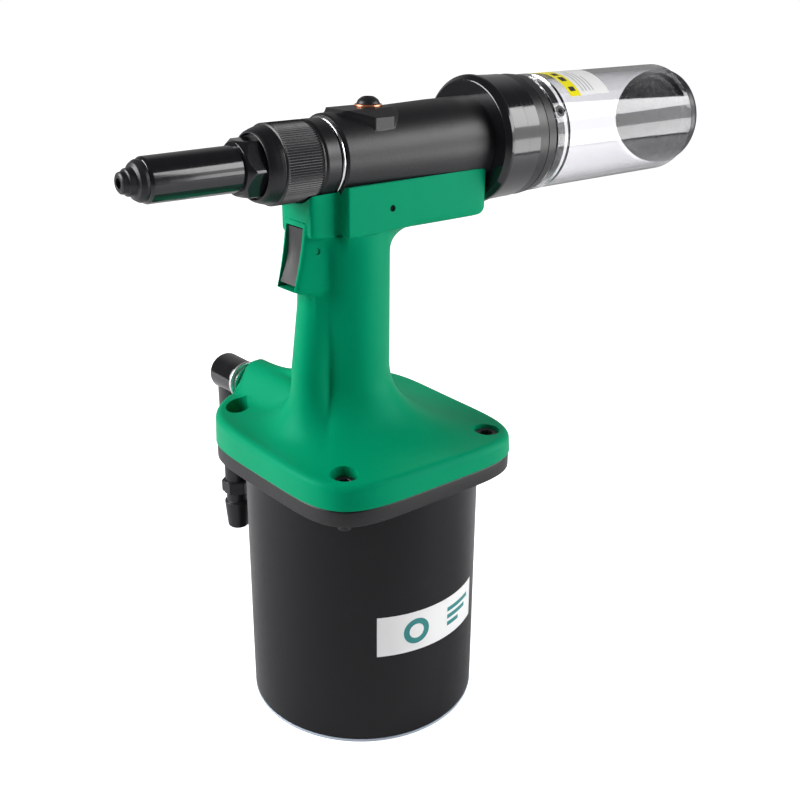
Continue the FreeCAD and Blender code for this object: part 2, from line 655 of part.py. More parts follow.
def barrel_label(x_start, x_end, angle_start, angle_sweep, radius, thickness=0.15):
    """A thin curved strip on the container, from one angle round the barrel to another."""
    outline = [vec(x_start, 0, BARREL_Z + radius), vec(x_end, 0, BARREL_Z + radius),
               vec(x_end, 0, BARREL_Z + radius + thickness), vec(x_start, 0, BARREL_Z + radius + thickness)]
    strip = Part.Face(Part.makePolygon(outline + outline[:1]))
    strip = strip.revolve(vec(0, 0, BARREL_Z), vec(1, 0, 0), angle_sweep)
    strip.rotate(vec(0, 0, BARREL_Z), vec(1, 0, 0), angle_start)
    return strip


def container_label():
    return barrel_label(99.0, 124.0, -18, 66, CONTAINER_R)


def cylinder_label():
    bottom, top, outside = 43.6, 62.4, CYLINDER_R + 0.15
    outline = [vec(CYLINDER_R, 0, bottom), vec(outside, 0, bottom), vec(outside, 0, top),
               vec(CYLINDER_R, 0, top)]
    strip = Part.Face(Part.makePolygon(outline + outline[:1])).revolve(vec(0, 0, 0), vec(0, 0, 1), 61)
    strip.rotate(vec(0, 0, 0), vec(0, 0, 1), -121)
    return strip


# ------------------------------------------------------------------ files
PIECES = {
    "base_pad": base_pad, "cylinder_floor": cylinder_floor, "air_cylinder": air_cylinder,
    "base_flange": base_flange, "cylinder_seal": cylinder_seal, "ram_gland": ram_gland,
    "ram_seal": ram_seal, "ram_rod": ram_rod, "air_piston": air_piston,
    "air_piston_seal": air_piston_seal, "piston_nut": piston_nut, "head_body": head_body,
    "column_screws": column_screws, "bleed_screw": bleed_screw, "bleed_washer": bleed_washer,
    "front_rod_seal": front_rod_seal, "handle_cover": handle_cover, "cover_screws": cover_screws,
    "screw_washers": screw_washers, "saddle_pins": saddle_pins, "trigger": trigger,
    "trigger_pin": trigger_pin, "valve_body": valve_body, "valve_stem": valve_stem,
    "valve_spring": valve_spring, "inlet_stem": inlet_stem, "inlet_ring": inlet_ring,
    "swivel_elbow": swivel_elbow, "plug_nut": plug_nut, "air_plug": air_plug,
    "nose_adapter": nose_adapter, "nose_housing": nose_housing, "nosepiece": nosepiece,
    "lock_nut": lock_nut, "lock_ring": lock_ring, "jaw_case": jaw_case, "pull_piston": pull_piston,
    "pull_piston_seal": pull_piston_seal, "mandrel_tube": mandrel_tube, "jaw_pusher": jaw_pusher,
    "jaw_spring": jaw_spring, "return_spring": return_spring, "rear_collar": rear_collar,
    "exhaust_ring": exhaust_ring, "container_seat": container_seat, "container_seal": container_seal,
    "latch_ring": latch_ring, "container_ring": container_ring, "set_screw": set_screw,
    "collection_container": collection_container, "end_cap": end_cap,
    "container_label": container_label, "cylinder_label": cylinder_label,
}


def main():
    os.makedirs("parts", exist_ok=True)
    shapes = {name: make() for name, make in PIECES.items()}
    for number, letter in enumerate("abc"):
        shapes["jaw_" + letter] = jaw(number)
    for name, shape in shapes.items():
        shape.exportStep("parts/" + name + ".step")
        box = shape.BoundBox
        print("%-22s solids %d valid %s volume %9.1f  z %.1f..%.1f" % (
            name, len(shape.Solids), shape.isValid(), shape.Volume, box.ZMin, box.ZMax))
    print("pull stroke %.2f for a ram stroke of %.1f" % (PULL_STROKE, RAM_STROKE))


main()
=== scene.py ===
import math

import bpy
import numpy as np
from bpy.props import FloatProperty, FloatVectorProperty, IntProperty, PointerProperty
from mathutils import Matrix, Vector


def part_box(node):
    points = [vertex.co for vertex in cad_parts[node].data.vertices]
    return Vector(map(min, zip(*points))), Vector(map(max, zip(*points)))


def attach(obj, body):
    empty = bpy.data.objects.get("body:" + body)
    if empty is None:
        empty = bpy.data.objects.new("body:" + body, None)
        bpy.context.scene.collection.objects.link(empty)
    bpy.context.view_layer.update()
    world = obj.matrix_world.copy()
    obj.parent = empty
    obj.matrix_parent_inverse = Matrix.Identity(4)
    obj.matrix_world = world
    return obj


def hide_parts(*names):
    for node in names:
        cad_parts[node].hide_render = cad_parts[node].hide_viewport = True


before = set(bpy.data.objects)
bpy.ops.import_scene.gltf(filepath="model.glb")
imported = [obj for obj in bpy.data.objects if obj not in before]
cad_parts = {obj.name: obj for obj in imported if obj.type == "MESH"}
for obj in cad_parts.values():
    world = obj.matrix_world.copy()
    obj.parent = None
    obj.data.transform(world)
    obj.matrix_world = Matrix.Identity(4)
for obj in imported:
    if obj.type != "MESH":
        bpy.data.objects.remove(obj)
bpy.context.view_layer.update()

bl_info = {
    "name": "Pneumatic Rivet Gun",
    "version": (1, 0, 0),
    "blender": (4, 5, 0),
    "location": "3D View > Sidebar > Rivet Gun",
    "description": "Builds the shells, turned parts and finishes of an upright rivet gun",
    "category": "Object",
}


# ---------------------------------------------------------------- places, in millimetres
MM = 1000.0


def low(node):
    """Lowest corner of a node's box."""
    return np.array(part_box(node)[0]) * MM


def high(node):
    """Highest corner of a node's box."""
    return np.array(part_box(node)[1]) * MM


def middle_of(node):
    """Middle of a node's box."""
    return (low(node) + high(node)) / 2


def span_x(node):
    """First and last x of a node."""
    return low(node)[0], high(node)[0]


def radius_of(node, axis=1):
    """Outer radius of a turned node, from its width along an axis across it."""
    return (high(node)[axis] - low(node)[axis]) / 2


BARREL = np.array([0.0, 0.0, middle_of("nose_housing")[2]])
INLET = middle_of("inlet_ring")
PLUG = middle_of("air_plug")
BLEED = middle_of("bleed_screw")
SCREW_HEAD = 5.0           # radius of a cover screw's head
SCREW_HALF = (high("cover_screws")[0] - low("cover_screws")[0]) / 2 - SCREW_HEAD
ALONG_X = np.array([1.0, 0.0, 0.0])
ALONG_Y = np.array([0.0, 1.0, 0.0])
ALONG_Z = np.array([0.0, 0.0, 1.0])
QUARTER = math.pi / 2


# ---------------------------------------------------------------- mesh helpers
def grid_quads(rows, columns, ring):
    """Quads of a grid whose columns close on themselves, and whose rows do too if ring is set."""
    last = rows if ring else rows - 1
    i = np.arange(last)[:, None]
    j = np.arange(columns)[None, :]
    here = i * columns
    above = ((i + 1) % rows) * columns
    after = (j + 1) % columns
    return np.stack([here + j, here + after, above + after, above + j], axis=-1).reshape(-1, 4)


def signed_volume(points, quads, triangles):
    """Sum of the tetrahedra from the origin to every face; negative when faces point inwards."""
    corners = [quads[:, [0, 1, 2]], quads[:, [0, 2, 3]]]
    if len(triangles):
        corners.append(triangles)
    t = points[np.concatenate(corners)]
    return np.einsum("ij,ij->i", t[:, 0], np.cross(t[:, 1], t[:, 2])).sum() / 6


def put_mesh(name, points, quads, triangles, sharp=35.0):
    """Makes an object in metres from points in millimetres, with its faces turned outwards."""
    if signed_volume(points, quads, triangles) < 0:
        quads = quads[:, ::-1]
        triangles = triangles[:, ::-1] if len(triangles) else triangles
    mesh = bpy.data.meshes.new(name)
    mesh.vertices.add(len(points))
    mesh.vertices.foreach_set("co", (points / MM).astype(np.float32).ravel())
    loops = np.concatenate([quads.ravel(), np.asarray(triangles, dtype=int).ravel()]).astype(np.int32)
    sizes = np.concatenate([np.full(len(quads), 4), np.full(len(triangles), 3)])
    starts = np.concatenate([[0], np.cumsum(sizes)[:-1]]).astype(np.int32)
    mesh.loops.add(len(loops))
    mesh.loops.foreach_set("vertex_index", loops)
    mesh.polygons.add(len(sizes))
    mesh.polygons.foreach_set("loop_start", starts)
    mesh.update(calc_edges=True)
    mesh.validate()
    smooth_mesh(mesh, sharp)
    piece = bpy.data.objects.new(name, mesh)
    bpy.context.scene.collection.objects.link(piece)
    return piece


def smooth_mesh(mesh, sharp):
    """Smooth shading, with edges sharper than an angle in degrees kept hard."""
    mesh.polygons.foreach_set("use_smooth", np.ones(len(mesh.polygons), dtype=bool))
    mesh.set_sharp_from_angle(angle=math.radians(sharp))
    mesh.update()


def skin(name, rows, start=None, end=None, ring=False, sharp=35.0):
    """Covers rows of closed outlines, shape (rows, columns, 3); start and end are pole points."""
    count, columns = rows.shape[:2]
    points = rows.reshape(-1, 3)
    quads = grid_quads(count, columns, ring)
    j = np.arange(columns)
    after = (j + 1) % columns
    triangles = np.zeros((0, 3), dtype=int)
    if start is not None:
        pole = np.full(columns, len(points))
        triangles = np.concatenate([triangles, np.stack([pole, after, j], axis=-1)])
        points = np.concatenate([points, [start]])
    if end is not None:
        pole = np.full(columns, len(points))
        base = (count - 1) * columns
        triangles = np.concatenate([triangles, np.stack([pole, base + j, base + after], axis=-1)])
        points = np.concatenate([points, [end]])
    return put_mesh(name, points, quads, triangles, sharp)


CUT_SHARE = 0.4            # most of a side that a rounded corner takes
GUARD_REACH = 1.5          # a guard point's distance from its corner, in rounding sizes
GUARD_SHARE = 0.46         # most of a side that a guard point takes
CORNER_STEPS = 4


def rounded(profile, size, closed):
    """Cuts each corner of an outline with a parabola: the arc's points run from one side of
    the corner to the other, (1-t)^2 before + 2t(1-t) corner + t^2 after. A point just before and
    one just after each arc keep the long sides flat when the mesh is shaded smooth."""
    points = np.array(profile, dtype=float)
    before, after = np.roll(points, 1, axis=0), np.roll(points, -1, axis=0)
    size = np.broadcast_to(size, len(points))[:, None]

    def toward(neighbour, reach, share):
        """Points on the way to each neighbour, at a reach, or at most that share of the side."""
        side = neighbour - points
        length = np.linalg.norm(side, axis=1, keepdims=True) + 1e-9
        return (points + side / length * np.minimum(reach, share * length))[:, None]

    t = np.linspace(0, 1, CORNER_STEPS + 1)[None, :, None]
    start, end = toward(before, size, CUT_SHARE), toward(after, size, CUT_SHARE)
    arcs = (1 - t) ** 2 * start + 2 * t * (1 - t) * points[:, None] + t ** 2 * end
    guards = [toward(side, GUARD_REACH * size, GUARD_SHARE) for side in (before, after)]
    arcs = np.concatenate([guards[0], arcs, guards[1]], axis=1)
    if closed:
        return arcs.reshape(-1, 2)
    return np.concatenate([points[:1], arcs[1:-1].reshape(-1, 2), points[-1:]])


def cross_axes(axis):
    """Two unit vectors across an axis; the first points up where it can."""
    up = ALONG_Z if abs(axis[2]) < 0.9 else ALONG_X
    first = up - axis * up.dot(axis)
    first /= np.linalg.norm(first)
    return first, np.cross(axis, first)


def turned_rows(profile, origin, axis, segments, radius_change=None):
    """A profile of (along, radius) turned about an axis: origin + along*axis
    + radius*(cos a * first + sin a * second). radius_change(along, angle, radius) is added."""
    first, second = cross_axes(axis)
    angle = np.arange(segments) * 2 * math.pi / segments
    along = profile[:, :1]
    radius = profile[:, 1:] + np.zeros((1, segments))
    if radius_change is not None:
        radius = radius + radius_change(along, angle[None, :], radius)
    around = np.cos(angle)[None, :, None] * first + np.sin(angle)[None, :, None] * second
    return origin + along[:, :, None] * axis + radius[:, :, None] * around


def turned(name, profile, origin=BARREL, axis=ALONG_X, segments=128, size=0.25):
    """A turned piece. A profile that starts and ends on the axis is solid, any other is a ring."""
    solid = abs(profile[0][1]) < 1e-6 and abs(profile[-1][1]) < 1e-6
    outline = rounded(profile, size, closed=not solid)
    if not solid:
        return skin(name, turned_rows(outline, origin, axis, segments), ring=True)
    rows = turned_rows(outline[1:-1], origin, axis, segments)
    return skin(name, rows, origin + outline[0][0] * axis, origin + outline[-1][0] * axis)


def denser(profile, spacing):
    """Adds points along the straight stretches of an outline, at most spacing apart."""
    points = [np.array(profile[0], dtype=float)]
    for corner in profile[1:]:
        corner = np.array(corner, dtype=float)
        count = max(1, math.ceil(np.linalg.norm(corner - points[-1]) / spacing))
        points += [points[-1] + (corner - points[-1]) * (k + 1) / count for k in range(count)]
    return points


def chamfered(start, end, inner, outer, edge):
    """Profile of a plain ring whose outer edges are cut off."""
    return [(start, inner), (start, outer - edge), (start + edge, outer), (end - edge, outer),
            (end, outer - edge), (end, inner)]


def superellipse(angle, half, power):
    """Distance at a bearing to the outline |x|^power + |y|^power = half^power."""
    return half / (np.abs(np.cos(angle)) ** power + np.abs(np.sin(angle)) ** power) ** (1 / power)


def hexagon(angle, flats):
    """Distance to the flats of a hexagon whose first flat faces bearing zero."""
    return flats / 2 / np.cos((angle + math.pi / 6) % (math.pi / 3) - math.pi / 6)


def soft_max(a, b, width):
    """Larger of two values, with their meeting rounded over about the given width."""
    return np.maximum(a, b) + width * np.log1p(np.exp(-np.abs(a - b) / width))


def curved_strip(name, origin, axis, radius, along, angles, thickness=0.12, columns=60):
    """A thin sheet wrapped on a cylinder: a closed rectangle of (along, radius) corners is carried
    round the axis from one angle to the other and capped at both ends."""
    first, second = cross_axes(axis)
    angle = np.linspace(angles[0], angles[1], columns)[:, None, None]
    around = np.cos(angle) * first + np.sin(angle) * second
    corners = [(along[0], radius + 0.01), (along[1], radius + 0.01), (along[1], radius + thickness),
               (along[0], radius + thickness)]
    flat = np.array([origin + a * axis for a, _ in corners])[None]
    reach = np.array([r for _, r in corners])[None, :, None]
    rows = flat + reach * around
    return skin(name, rows, rows[0].mean(axis=0), rows[-1].mean(axis=0), sharp=30.0)


def wrapped_ring(name, radius, bearing, height, inner, outer, thickness=0.03, columns=64):
    """A flat ring laid on an upright cylinder: a point at distance d and turn t from the ring's
    centre goes to bearing + d*cos(t)/radius and height + d*sin(t)."""
    turn = np.arange(columns) * 2 * math.pi / columns
    rows = []
    for distance, reach in ((inner, radius + 0.005), (outer, radius + 0.005), (outer, radius + thickness),
                            (inner, radius + thickness)):
        angle = bearing + distance * np.cos(turn) / radius
        rows.append(np.stack([reach * np.cos(angle), reach * np.sin(angle), height + distance * np.sin(turn)],
                             axis=-1))
    return skin(name, np.stack(rows), ring=True, sharp=30.0)


def carve(piece, cutters, sharp=35.0):
    """Takes the cutters out of a piece and keeps the result as its mesh."""
    for cutter in cutters:
        change = piece.modifiers.new("carve", "BOOLEAN")
        change.operation = "DIFFERENCE"
        change.solver = "EXACT"
        change.object = cutter
    seen = piece.evaluated_get(bpy.context.evaluated_depsgraph_get())
    mesh = bpy.data.meshes.new_from_object(seen)
    old = piece.data
    piece.modifiers.clear()
    piece.data = mesh
    mesh.name = old.name
    bpy.data.meshes.remove(old)
    for cutter in cutters:
        used = cutter.data
        bpy.data.objects.remove(cutter)
        bpy.data.meshes.remove(used)
    smooth_mesh(mesh, sharp)
    return piece


def settle(piece, body, slot, look, *nodes):
    """Gives a piece its finish, its body and the CAD nodes that it stands for."""
    piece.data.materials.clear()
    piece.data.materials.append(finish(look))
    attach(piece, body)
    if nodes:
        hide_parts(*nodes)
    return piece


# ---------------------------------------------------------------- shader helpers
def plug(tree, value, socket):
    """Joins another node's socket to a socket, or sets the socket to a plain value."""
    if hasattr(value, "links"):
        tree.links.new(value, socket)
    else:
        socket.default_value = value


class Shader:
    """A material and short calls for adding and joining its nodes."""

    def __init__(self, name):
        self.material = bpy.data.materials.new(name)
        self.material.use_nodes = True
        self.tree = self.material.node_tree
        self.surface = self.tree.nodes["Principled BSDF"]
        self.place = self.tree.nodes.new("ShaderNodeTexCoord").outputs["Object"]

    def set(self, **values):
        """Sets plain values on the surface shader."""
        for name, value in values.items():
            self.surface.inputs[name.replace("_", " ")].default_value = value
        return self

    def add(self, kind, **values):
        """A new node with plain values on its sockets."""
        node = self.tree.nodes.new(kind)
        for name, value in values.items():
            node.inputs[name.replace("_", " ")].default_value = value
        return node

    def join(self, source, target):
        """Links one socket to another."""
        self.tree.links.new(source, target)

    def group(self, tree, **values):
        """A node group with this material's own values, placed by object coordinates."""
        node = self.tree.nodes.new("ShaderNodeGroup")
        node.node_tree = tree
        for name, value in values.items():
            node.inputs[name.replace("_", " ")].default_value = value
        self.join(self.place, node.inputs["Place"])
        return node

    def feed(self, socket, name):
        """Links a socket to one of the surface shader's inputs."""
        self.join(socket, self.surface.inputs[name])

    def bump(self, height, strength, distance):
        """Feeds the surface's normal from a height."""
        node = self.add("ShaderNodeBump", Strength=strength, Distance=distance)
        self.join(height, node.inputs["Height"])
        self.feed(node.outputs["Normal"], "Normal")

    def ranged(self, value, low_value, high_value):
        """Maps 0..1 onto a range and returns the socket."""
        node = self.add("ShaderNodeMapRange", To_Min=low_value, To_Max=high_value)
        self.join(value, node.inputs["Value"])
        return node.outputs["Result"]

    def blend(self, factor, first, second):
        """Mixes two colours, each a socket or three numbers."""
        node = self.tree.nodes.new("ShaderNodeMix")
        node.data_type = "RGBA"
        factor_in, first_in, second_in = node.inputs[0], node.inputs[6], node.inputs[7]
        for socket, value in ((first_in, first), (second_in, second)):
            plug(self.tree, value if hasattr(value, "links") else (*value, 1.0), socket)
        self.join(factor, factor_in)
        return node.outputs[2]


def group_tree(name, inputs, outputs):
    """An empty node group: inputs are (name, default), or (name, None) for a vector."""
    tree = bpy.data.node_groups.new(name, "ShaderNodeTree")
    for label, default in inputs:
        kind = "NodeSocketVector" if default is None else "NodeSocketFloat"
        socket = tree.interface.new_socket(label, in_out="INPUT", socket_type=kind)
        if default is not None:
            socket.default_value = default
    for label in outputs:
        tree.interface.new_socket(label, in_out="OUTPUT", socket_type="NodeSocketFloat")
    return tree, tree.nodes.new("NodeGroupInput"), tree.nodes.new("NodeGroupOutput")


def noise_in(tree, place, scale, detail, roughness=0.5):
    """A noise texture's value."""
    node = tree.nodes.new("ShaderNodeTexNoise")
    for name, value in (("Vector", place), ("Scale", scale), ("Detail", detail), ("Roughness", roughness)):
        plug(tree, value, node.inputs[name])
    return node.outputs["Fac"]


def math_in(tree, operation, first, second, third=None):
    """The result of a sum on sockets or plain values."""
    node = tree.nodes.new("ShaderNodeMath")
    node.operation = operation
    for socket, value in zip(node.inputs, (first, second, third)):
        if value is not None:
            plug(tree, value, socket)
    return node.outputs[0]


def seen_straight(tree):
    """One on rays that have met only clear parts on their way from the camera, else zero."""
    path = tree.nodes.new("ShaderNodeLightPath")
    bounces = math_in(tree, "ADD", path.outputs["Diffuse Depth"], path.outputs["Glossy Depth"])
    return math_in(tree, "LESS_THAN", bounces, 0.5)


def grain_group():
    """Cast or moulded grain: fine noise over coarse noise, with slow mottling beside it."""
    tree, start, end = group_tree("surface_grain", [("Place", None), ("Fine", 2400.0), ("Coarse", 600.0),
                                                    ("Share", 0.5)], ["Height", "Mottle"])
    place = start.outputs["Place"]
    fine = noise_in(tree, place, start.outputs["Fine"], detail=2.0)
    coarse = noise_in(tree, place, start.outputs["Coarse"], detail=3.0)
    lean = math_in(tree, "SUBTRACT", coarse, fine)
    height = math_in(tree, "MULTIPLY_ADD", lean, start.outputs["Share"], fine)
    mottle = noise_in(tree, place, scale=38.0, detail=4.0)
    tree.links.new(height, end.inputs["Height"])
    tree.links.new(mottle, end.inputs["Mottle"])
    return tree


PATCH_EDGE = 7.0           # how steeply a rubbed patch sets in


def wear_group():
    """Faint rubbed patches and dust: slow noise, cut to its peaks and broken up by a finer one."""
    inputs = [("Place", None), ("Scale", 55.0), ("Level", 0.6)]
    tree, start, end = group_tree("rubbed_patches", inputs, ["Mask"])
    slow = noise_in(tree, start.outputs["Place"], start.outputs["Scale"], detail=6.0, roughness=0.62)
    fine = noise_in(tree, start.outputs["Place"], scale=1300.0, detail=3.0, roughness=0.6)
    raised = math_in(tree, "SUBTRACT", slow, start.outputs["Level"])
    steep = math_in(tree, "MULTIPLY", raised, PATCH_EDGE)
    broken = math_in(tree, "MULTIPLY", steep, fine)
    clipped = tree.nodes.new("ShaderNodeClamp")
    tree.links.new(broken, clipped.inputs["Value"])
    tree.links.new(clipped.outputs["Result"], end.inputs["Mask"])
    return tree


def turning_group():
    """Lathe marks: noise read along the barrel only, so that it draws fine rings."""
    tree, start, end = group_tree("turning_marks", [("Place", None), ("Along", 5200.0), ("Across", 18.0)],
                                  ["Height", "Streak"])
    scale = tree.nodes.new("ShaderNodeCombineXYZ")
    tree.links.new(start.outputs["Along"], scale.inputs["X"])
    for name in ("Y", "Z"):
        tree.links.new(start.outputs["Across"], scale.inputs[name])
    stretched = tree.nodes.new("ShaderNodeVectorMath")
    stretched.operation = "MULTIPLY"
    tree.links.new(start.outputs["Place"], stretched.inputs[0])
    tree.links.new(scale.outputs["Vector"], stretched.inputs[1])
    rings = noise_in(tree, stretched.outputs["Vector"], scale=1.0, detail=2.0)
    streak = noise_in(tree, stretched.outputs["Vector"], scale=0.13, detail=3.0)
    tree.links.new(rings, end.inputs["Height"])
    tree.links.new(streak, end.inputs["Streak"])
    return tree


GROUPS = {}
FINISHES = {}


def shared(name):
    """The shared node groups, each made once."""
    makers = {"grain": grain_group, "wear": wear_group, "turning": turning_group}
    if name not in GROUPS:
        GROUPS[name] = makers[name]()
    return GROUPS[name]


def finish(name):
    """The material of that name, made once."""
    if name not in FINISHES:
        for table, maker in ((GRAINED, grained), (MACHINED, machined), (PRINTED, printed_film)):
            if name in table:
                FINISHES[name] = maker(*table[name])
        if name in OTHER_FINISHES:
            FINISHES[name] = OTHER_FINISHES[name]()
    return FINISHES[name]


def colour_of(value):
    """Three numbers, from themselves or from the name of a colour that a user may change."""
    return tuple(getattr(bpy.context.scene.rivet_gun_colours, value) if isinstance(value, str) else value)


# ---------------------------------------------------------------- finishes
def lightened(colour, factor, offset=0.0):
    """A colour times a factor plus an offset, kept within one."""
    return tuple(min(1.0, part * factor + offset) for part in colour)


def grained(name, colour, lift, rough, fine, coarse, share, depth, wear_level=0.62, settings=None):
    """A cast, painted or moulded surface: mottled colour, uneven gloss and a grain in its bump."""
    shader = Shader(name)
    grain = shader.group(shared("grain"), Fine=fine, Coarse=coarse, Share=share)
    wear = shader.group(shared("wear"), Level=wear_level)
    colour = colour_of(colour)
    base = shader.blend(grain.outputs["Mottle"], colour, lightened(colour, lift))
    rubbed = lightened(colour, lift + 0.25, 0.002)
    shader.feed(shader.blend(wear.outputs["Mask"], base, rubbed), "Base Color")
    shader.feed(shader.ranged(grain.outputs["Height"], rough - 0.07, rough + 0.09), "Roughness")
    shader.bump(grain.outputs["Height"], strength=1.0, distance=depth)
    return shader.set(**(settings or {})).material


def machined(name, colour, lift, rough, settings=None):
    """A turned surface: fine rings in its bump and streaks in its gloss."""
    shader = Shader(name)
    turning = shader.group(shared("turning"))
    wear = shader.group(shared("wear"), Level=0.6)
    colour = colour_of(colour)
    base = shader.blend(turning.outputs["Streak"], colour, lightened(colour, lift))
    rubbed = lightened(colour, lift + 0.3, 0.006)
    shader.feed(shader.blend(wear.outputs["Mask"], base, rubbed), "Base Color")
    shader.feed(shader.ranged(turning.outputs["Streak"], rough - 0.06, rough + 0.1), "Roughness")
    shader.bump(turning.outputs["Height"], strength=0.8, distance=2.0e-6)
    return shader.set(**(settings or {})).material


def clear_plastic():
    """Clear moulded plastic with painted shade that greys its edges where they turn away from the view, with
    slight waviness and faint smears.
    """
    shader = Shader("clear_polycarbonate")
    wear = shader.group(shared("wear"), Level=0.55, Scale=30.0)
    wave = shader.add("ShaderNodeTexNoise", Scale=45.0, Detail=2.0)
    shader.join(shader.place, wave.inputs["Vector"])
    shader.feed(shader.ranged(wear.outputs["Mask"], 0.015, 0.09), "Roughness")
    shader.bump(wave.outputs["Fac"], strength=0.25, distance=2.0e-5)
    # painted edge shade: the base colour turns grey where the surface faces away from the view, in place of
    # the grey that refraction and reflection give the tube's edges
    facing = shader.add("ShaderNodeLayerWeight", Blend=0.5).outputs["Facing"]
    edge = math_in(shader.tree, "POWER", facing, 3.5)
    shader.feed(shader.blend(edge, (0.94, 0.94, 0.962), (0.34, 0.34, 0.38)), "Base Color")
    return shader.set(Transmission_Weight=1.0, IOR=1.46).material


def printed_film(name, colour):
    """Printed film: smooth, with a faint fibre and lighter worn spots."""
    return grained(name, colour, lift=0.96, rough=0.32, fine=900.0, coarse=120.0, share=0.5, depth=4.0e-6,
                   wear_level=0.72)


def studio_floor():
    """Pale floor with a faint grain, which also glows a little where it is seen straight."""
    shader = Shader("pale_floor")
    grain = shader.group(shared("grain"), Fine=300.0, Coarse=60.0)
    shader.feed(shader.blend(grain.outputs["Mottle"], (0.74, 0.74, 0.75), (0.78, 0.78, 0.79)), "Base Color")
    shader.feed(shader.blend(seen_straight(shader.tree), (0.0, 0.0, 0.0), (1.0, 1.0, 1.0)), "Emission Color")
    return shader.set(Roughness=0.7, Emission_Strength=0.96).material


# Each look's material name, colour, lightening, roughness, fine and coarse grain (per metre), share of the
# coarse grain, depth of the grain (in metres), level above which it is rubbed, and the shader's own settings.
GRAINED = {
    "green": ("green_moulding", "green", 1.14, 0.40, 2600.0, 900.0, 0.35, 2.6e-5, 0.66,
              {"Specular_IOR_Level": 0.13, "Specular_Tint": (0.0, 0.85, 0.6, 1.0)}),
    "casting": ("black_casting", "black", 1.5, 0.40, 1500.0, 700.0, 0.5, 7.0e-5, 0.6),
    "sleeve": ("black_sleeve", "black", 1.35, 0.30, 1500.0, 260.0, 0.7, 1.4e-5, 0.6,
               {"Specular_IOR_Level": 0.2, "Coat_Weight": 0.1, "Coat_Roughness": 0.12}),
    "oxide": ("black_oxide", (0.022, 0.022, 0.024), 1.6, 0.34, 3000.0, 500.0, 0.4, 6.0e-6, 0.56,
              {"Metallic": 0.55}),
    "black_plastic": ("black_plastic", (0.018, 0.018, 0.02), 1.3, 0.36, 2400.0, 500.0, 0.4, 1.4e-5),
    "cap": ("slate_plastic", (0.006, 0.006, 0.009), 1.3, 0.26, 2400.0, 500.0, 0.4, 6.0e-6),
    "pin": ("dark_pin", (0.003, 0.003, 0.003), 1.4, 0.6, 2400.0, 500.0, 0.4, 6.0e-6, 0.62,
            {"Specular_IOR_Level": 0.1}),
    "trigger": ("trigger_moulding", (0.011, 0.011, 0.012), 1.25, 0.42, 2800.0, 700.0, 0.4, 2.4e-5),
    "copper": ("annealed_copper", (0.78, 0.33, 0.19), 1.2, 0.28, 1600.0, 300.0, 0.5, 6.0e-6, 0.5,
               {"Metallic": 0.9}),
    "seal": ("nitrile_seal", (0.016, 0.016, 0.017), 1.3, 0.5, 2200.0, 500.0, 0.5, 1.0e-5),
    "pad": ("pale_pad", (0.46, 0.53, 0.62), 1.1, 0.34, 1500.0, 240.0, 0.5, 8.0e-6),
}
# Each look's material name, colour, lightening, roughness and the shader's own settings.
MACHINED = {
    "gloss": ("black_anodised", "black", 1.6, 0.12, {"Coat_Weight": 0.4, "Coat_Roughness": 0.05}),
    "satin": ("black_satin", "black", 1.8, 0.33),
    "steel": ("turned_steel", (0.56, 0.57, 0.58), 1.12, 0.26, {"Metallic": 1.0}),
    "bright": ("bright_ring", (0.86, 0.86, 0.87), 1.05, 0.14, {"Metallic": 1.0}),
    "alloy": ("turned_alloy", (0.7, 0.71, 0.72), 1.1, 0.32, {"Metallic": 1.0}),
}
PRINTED = {
    "yellow": ("yellow_film", (1.0, 0.88, 0.0)),
    "white": ("white_film", (0.95, 0.95, 0.95)),
    "teal": ("teal_print", (0.02, 0.25, 0.25)),
    "pale_print": ("grey_print", (0.45, 0.46, 0.47)),
}
OTHER_FINISHES = {"clear": clear_plastic, "floor": studio_floor}


# ---------------------------------------------------------------- sizes and colours a user may change
class RivetGunSizes(bpy.types.PropertyGroup):
    """Sizes of the details that the frame doesn't fix."""

    knurl_ribs: IntProperty(name="Knurl ribs", description="Ribs round the lock nut", default=96, min=24)
    knurl_depth: FloatProperty(name="Knurl depth", description="Depth of the nut's ribs, in millimetres",
                               default=0.42, min=0.0)
    edge_round: FloatProperty(name="Edge rounding", description="Rounding of turned edges, in millimetres",
                              default=0.25, min=0.0)
    cover_columns: IntProperty(name="Cover columns", description="Columns of the handle cover's mesh",
                               default=380, min=120)
    lens: FloatProperty(name="Lens", description="Focal length of the camera", default=48.6,
                        subtype="DISTANCE_CAMERA")


class RivetGunColours(bpy.types.PropertyGroup):
    """Main colours of the gun."""

    green: FloatVectorProperty(name="Green", description="Handle cover", subtype="COLOR",
                               default=(0.0004, 0.268, 0.124), min=0.0, max=1.0)
    black: FloatVectorProperty(name="Black", description="Casting and turned parts", subtype="COLOR",
                               default=(0.0042, 0.0042, 0.0052), min=0.0, max=1.0)


def sizes():
    """The sizes that the user has set."""
    return bpy.context.scene.rivet_gun_sizes


# ---------------------------------------------------------------- handle cover
GAP = 0.05                 # between parts that lie against each other
BLEND = 0.35               # rounding where two shapes of the cover meet
FLANGE_TOP = high("base_flange")[2]
COVER_HALF = radius_of("handle_cover") - GAP
COVER_POWER = 4.7          # of the superellipse round the base
GRIP_MIDDLE = -12.0        # x of the line that the grip's bearings are measured from
GRIP_REAR = (-7.1, 17.6, 16.7)         # middle, half length and half width of the grip's rear lobe
GRIP_FRONT = (-29.75, 185.0, 0.1365)   # x of the front lobe's face, at this height, and its lean
GRIP_FRONT_RADIUS = 8.3
CHIN = 193.4               # lower end of the trigger housing's front
CHIN_HEIGHT = 3.0
CHIN_DEPTH = 9.5           # how far the housing's front steps back under its chin
HOUSING_TOP = 218.0
HOUSING_FRONT = -36.7
HOUSING_HALF = 10.04
HOUSING_TAPER = 0.14       # how much its sides close in towards the front
HOOD_MIDDLE = 227.0        # height at which the hood's outline is taken
HOOD_HALF = 10.5
HOOD_REACH = 18.9
HOOD_TAPER = 0.167
FACET_REACH = 13.57        # of the hood's facets at its middle height
FACET_SLOPE = 0.378
SADDLE_BOTTOM = 213.6
